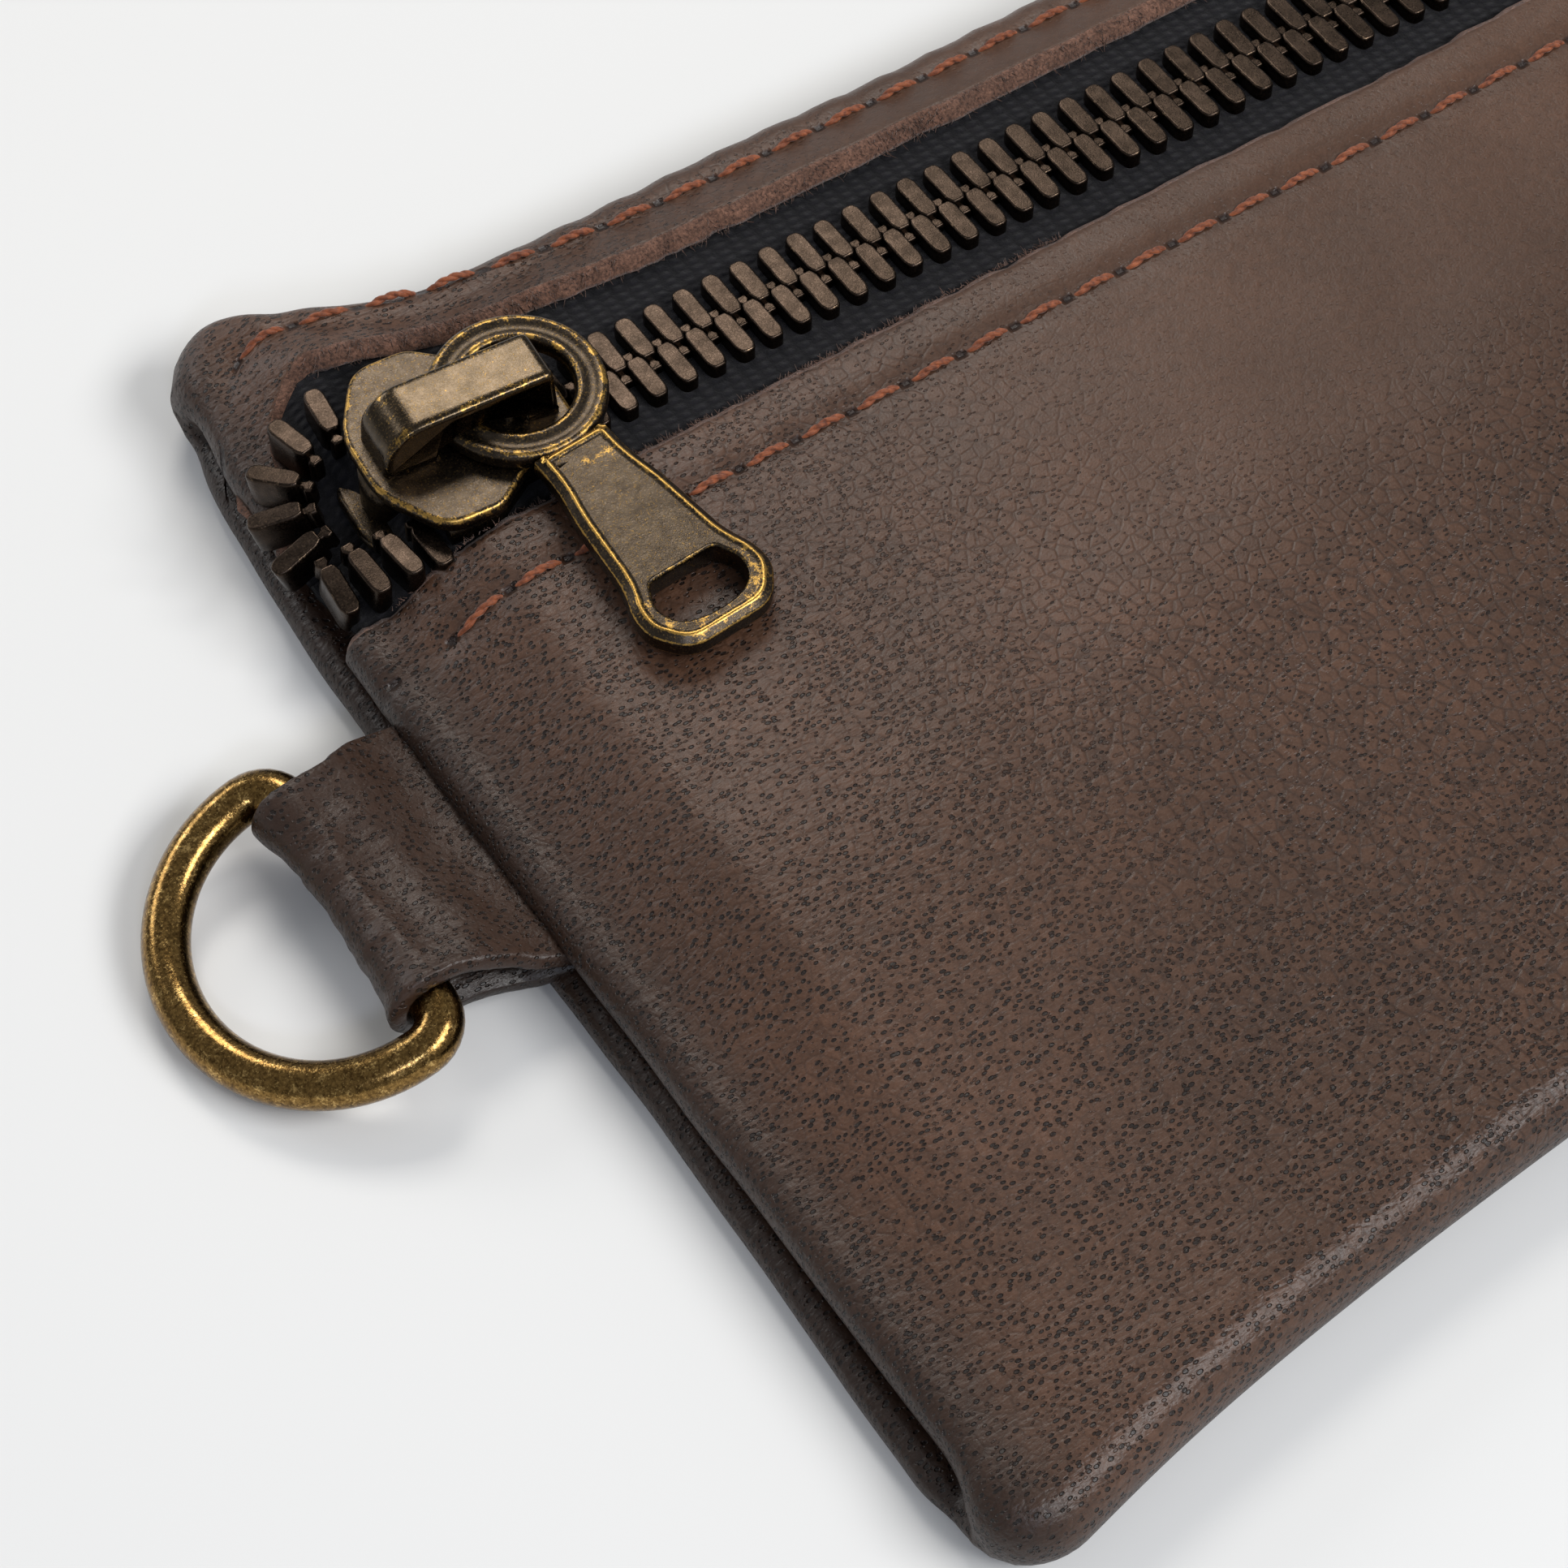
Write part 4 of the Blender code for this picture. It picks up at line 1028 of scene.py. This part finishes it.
def beaded_ring(steps):
    """A flat ring with two rubbed beads on each face."""
    section = [
        (4.1, -0.35, 0.1),
        (4.22, -0.62, 0.3),
        (4.42, -0.76, 0.62),
        (4.66, -0.78, 0.4),
        (4.95, -0.66, 0.1),
    ]
    section += [
        (5.3, -0.60, 0.05),
        (5.65, -0.66, 0.1),
        (5.95, -0.78, 0.45),
        (6.2, -0.76, 0.66),
        (6.42, -0.6, 0.3),
    ]
    section += [(6.5, -0.3, 0.1)]
    section += [(r, -z, worn) for r, z, worn in reversed(section)]
    count = len(section)
    points, faces, rubbed = [], [], []
    for n in range(steps):
        a = 2.0 * math.pi * n / steps
        points += [Vector((r * math.cos(a), r * math.sin(a), z)) for r, z, worn in section]
        rubbed += [worn for r, z, worn in section]
        m = (n + 1) % steps
        for k in range(count):
            j = (k + 1) % count
            faces.append((n * count + k, m * count + k, m * count + j, n * count + j))
    return points, faces, rubbed


def paddle_solid():
    """The paddle, pierced by its opening. Both outlines are ringed, and flat faces join them."""
    side = [(3.05, -6.1, 0.25), (3.1, -9.2, 1.4), (3.72, -12.0, 1.5), (4.4, -18.6, 2.0), (5.3, -20.8, 1.2)]
    side += [(5.35, -22.8, 1.5), (3.5, -25.4, 2.6)]
    outer = filleted(side + [(-u, v, r) for u, v, r in reversed(side)], 7)
    eye = [(2.75, -19.35, 0.45), (3.75, -21.3, 0.9), (3.1, -23.2, 1.0), (1.2, -23.85, 1.4)]
    hole = filleted(eye + [(-u, v, r) for u, v, r in reversed(eye)], 6)
    face_z, rim_z = 0.88, 1.0
    shape = bmesh.new()
    worn_layer = shape.verts.layers.float.new("worn")

    def ring_of(outline, depth, level, worn):
        made = []
        for p in inset_outline(outline, depth):
            vert = shape.verts.new((p[0], p[1], level))
            vert[worn_layer] = worn
            made.append(vert)
        return made

    def bridge(one, two):
        count = len(one)
        for i in range(count):
            shape.faces.new((one[i], one[(i + 1) % count], two[(i + 1) % count], two[i]))

    rim = [(0.0, 0.2, 0.0), (0.0, 0.40, 0.25), (0.05, 0.52, 0.9), (0.15, 0.60, 0.2), (0.48, 0.90, 0.1)]
    rim += [
        (0.58, 0.98, 0.95),
        (0.70, rim_z, 1.0),
        (0.84, 0.96, 0.5),
        (0.98, face_z, 0.0),
        (1.1, face_z, 0.0),
    ]
    bore = [(0.0, 0.2, 0.0), (0.0, 0.6, 0.1), (0.06, 0.78, 0.5), (0.18, face_z, 0.35), (0.28, face_z, 0.0)]
    halves = []
    for sign in (1.0, -1.0):
        rings = [ring_of(outer[::-1], depth, sign * level, worn) for depth, level, worn in rim]
        eyes = [ring_of(hole, depth, sign * level, worn) for depth, level, worn in bore]
        for run in (rings, eyes):
            for one, two in zip(run, run[1:]):
                bridge(one, two)
        halves.append((rings, eyes))
    bridge(halves[0][0][0], halves[1][0][0])
    bridge(halves[0][1][0], halves[1][1][0])
    for rings, eyes in halves:
        loops = []
        for loop in (rings[-1], eyes[-1]):
            loops += [shape.edges.get((loop[i], loop[(i + 1) % len(loop)])) for i in range(len(loop))]
        bmesh.ops.triangle_fill(shape, edges=loops, use_beauty=True, use_dissolve=False)
    for level in (-7.0, -7.4, -7.9, -8.6, -9.6, -11.0, -12.5, -14.5, -16.5, -18.2, -18.8, -19.2):
        everything = shape.verts[:] + shape.edges[:] + shape.faces[:]
        bmesh.ops.bisect_plane(shape, geom=everything, plane_co=(0.0, level, 0.0), plane_no=(0.0, 1.0, 0.0))
    for u in (-2.0, -1.0, 0.0, 1.0, 2.0):
        everything = shape.verts[:] + shape.edges[:] + shape.faces[:]
        bmesh.ops.bisect_plane(shape, geom=everything, plane_co=(u, 0.0, 0.0), plane_no=(1.0, 0.0, 0.0))
    for vert in shape.verts:
        u, v, level = vert.co
        thick = ease(-15.5, -19.5, v)
        if abs(level) > 0.8:
            corner = 0.75 * ease(-7.5, -6.4, v) + 0.42 * bell(v + 0.35 * u, -8.4, 0.9) * ease(-2.6, 1.0, u)
            loop_wear = 0.42 * ease(-19.6, -21.0, v)
            vert[worn_layer] = max(vert[worn_layer], corner, loop_wear)
        if level < 0.0:
            vert.co.z *= 1.0 + 0.35 * ease(-6.5, -9.0, v) + 0.1 * thick
    shape.verts.index_update()
    points = [v.co.copy() for v in shape.verts]
    faces = [tuple(v.index for v in face.verts) for face in shape.faces]
    rubbed = [v[worn_layer] for v in shape.verts]
    shape.free()
    return points, faces, rubbed


pull_points, pull_faces, pull_rubbed = join_solids([beaded_ring(96), paddle_solid()])
pull = make_mesh("pull_casting", [pull_place @ p for p in pull_points], pull_faces, slider_metal)
face_out(pull)
paint(pull, "rubbed", pull_rubbed)
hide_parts("pull")
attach(pull, "pull")

# ---------------------------------------------------------------------------------------------------------
# Threads.
# Waxed rust-brown polyester, two plies twisted together, sewn at 4.8 mm a stitch. Each stitch is pulled into
# the leather at both ends, and the next one starts beside the hole.

# Waxed thread has a low sheen. Its plies darken where they meet.
rust, tree, shader = new_material(
    "waxed_rust_thread", Roughness=0.6, Specular_IOR_Level=0.35, Sheen_Weight=0.2
)
where = add(tree, "TexCoord").outputs["Object"]
strands = add(tree, "TexNoise", {"Vector": where, "Scale": 2300.0, "Detail": 3.0, "Roughness": 0.6})
dye = add(tree, "MapRange", {"Value": strands.outputs["Fac"], 1: 0.3, 2: 0.7})
dye = add(tree, "Mix", {0: dye.outputs[0], 6: linear("#552711"), 7: linear("#9a5430")}, data_type="RGBA")
tree.links.new(dye.outputs[2], shader.inputs["Base Color"])
twist = add(tree, "Bump", {"Strength": 0.5, "Distance": 0.00008, "Height": strands.outputs["Fac"]})
tree.links.new(twist.outputs[0], shader.inputs["Normal"])


def stitch(parts, place):
    """One stitch: two plies wound round each other along place(t), for t from -1 to 1."""
    for ply in (0.0, math.pi):
        route = []
        for k in range(19):
            t = 2.0 * k / 18 - 1.0
            x, y, z = place(t)
            angle = ply + 6.5 * t
            lift = 0.10 - 0.5 * abs(t) ** 4 + 0.12 * math.sin(angle)
            route.append((x, y + 0.13 * math.cos(angle), z + lift))
        points, faces = tube(route, 0.2, 7)
        parts.append((points, faces, [0.0] * len(points)))


def stitch_line(seam, reach):
    """All stitches of one seam."""
    parts = []
    count = int(reach / STITCH_PITCH)
    for n in range(-count, count + 1):
        middle = n * STITCH_PITCH + 0.5 * STITCH_PITCH
        if abs(middle) > reach:
            continue
        half = 2.0 + 0.1 * ripple(middle, 1.0, 3.0, 51.0)

        def place(t, middle=middle, half=half):
            x = middle + half * t
            y = seam(x) + 0.12 * t
            return x, y, leather_height(x, y)

        stitch(parts, place)
    return join_solids(parts)


for word, seam in (("front", lambda x: FRONT_STITCH_Y), ("strip", strip_stitch)):
    thread_points, thread_faces, _ = stitch_line(seam, 99.5)
    thread = make_mesh(f"{word}_stitches", thread_points, thread_faces, rust)
    face_out(thread)
    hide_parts(f"{word}_topstitch")
    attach(thread, "pouch")

# The side seams' thread runs inside the pouch, so its solids keep their shape and only take the material.
for word in ("left", "right"):
    hidden_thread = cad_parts[f"side_seam_thread_{word}"]
    hidden_thread.data.materials.clear()
    hidden_thread.data.materials.append(rust)

# ---------------------------------------------------------------------------------------------------------
# Table, light and camera.
# A smooth white table top. The main soft light stands at the front right. Weaker ones behind the pouch
# brighten the brass and the far table, and a small one at the left front gives the rolled corner its sheen.

table, tree, shader = new_material("white_laminate_table", Roughness=0.5, Specular_IOR_Level=0.35)
where = add(tree, "TexCoord").outputs["Object"]
cast = add(tree, "TexNoise", {"Vector": where, "Scale": 3.0, "Detail": 1.0})
white = add(
    tree, "Mix", {0: cast.outputs["Fac"], 6: linear("#e0e0df"), 7: linear("#e5e5e4")}, data_type="RGBA"
)
tree.links.new(white.outputs[2], shader.inputs["Base Color"])
reach = 2500.0
corners = [(x * reach, y * reach, -0.05) for x, y in ((-1.0, -1.0), (1.0, -1.0), (1.0, 1.0), (-1.0, 1.0))]
floor = make_mesh("table_top", corners, [(0, 1, 2, 3)], table)

world = bpy.data.worlds.new("soft_room")
bpy.context.scene.world = world
world.use_nodes = True
world.node_tree.nodes["Background"].inputs["Color"].default_value = linear("#eef1f5")
world.node_tree.nodes["Background"].inputs["Strength"].default_value = 0.33


def soft_light(name, place, aim, size, power, colour):
    """A rectangular light at a place, in metres, turned to its aim."""
    data = bpy.data.lights.new(name, "AREA")
    data.shape = "RECTANGLE"
    data.size, data.size_y = size
    data.energy = power
    data.color = linear(colour)[:3]
    lamp = bpy.data.objects.new(name, data)
    lamp.location = place
    lamp.rotation_mode = "QUATERNION"
    lamp.rotation_quaternion = (Vector(aim) - Vector(place)).to_track_quat("-Z", "Y")
    bpy.context.scene.collection.objects.link(lamp)


soft_light("front_softbox", (0.3, -0.62, 0.75), (-0.05, 0.0, 0.0), (0.7, 0.3), 8.4, "#fdfdfd")
soft_light("back_softbox", (0.2, 0.66, 0.8), (-0.06, 0.02, 0.0), (0.4, 0.3), 3.4, "#fffaf2")
soft_light("far_softbox", (-0.45, 0.9, 0.5), (-0.15, 0.15, 0.0), (0.5, 0.3), 2.2, "#ffffff")
soft_light("left_sheen", (-0.4, -0.66, 0.62), (-0.09, -0.04, 0.0), (0.16, 0.12), 1.2, "#dfe9ff")
bpy.context.scene.view_settings.view_transform = "Standard"

camera_data = bpy.data.cameras.new("camera")
camera_data.lens, camera_data.sensor_width = 93.17, 36.0
camera_data.clip_start = 0.01
camera = bpy.data.objects.new("camera", camera_data)
bpy.context.scene.collection.objects.link(camera)
bpy.context.scene.camera = camera
yaw, pitch, roll = math.radians(34.79), math.radians(55.57), math.radians(1.06)
forward = Vector((math.sin(yaw) * math.cos(pitch), math.cos(yaw) * math.cos(pitch), -math.sin(pitch)))
right = forward.cross(Vector((0.0, 0.0, 1.0))).normalized()
up = right.cross(forward)
rolled_right = right * math.cos(roll) + up * math.sin(roll)
rolled_up = up * math.cos(roll) - right * math.sin(roll)
turn = Matrix((rolled_right, rolled_up, -forward)).transposed().to_4x4()
camera.matrix_world = Matrix.Translation((-0.1725, -0.1286, 0.2357)) @ turn
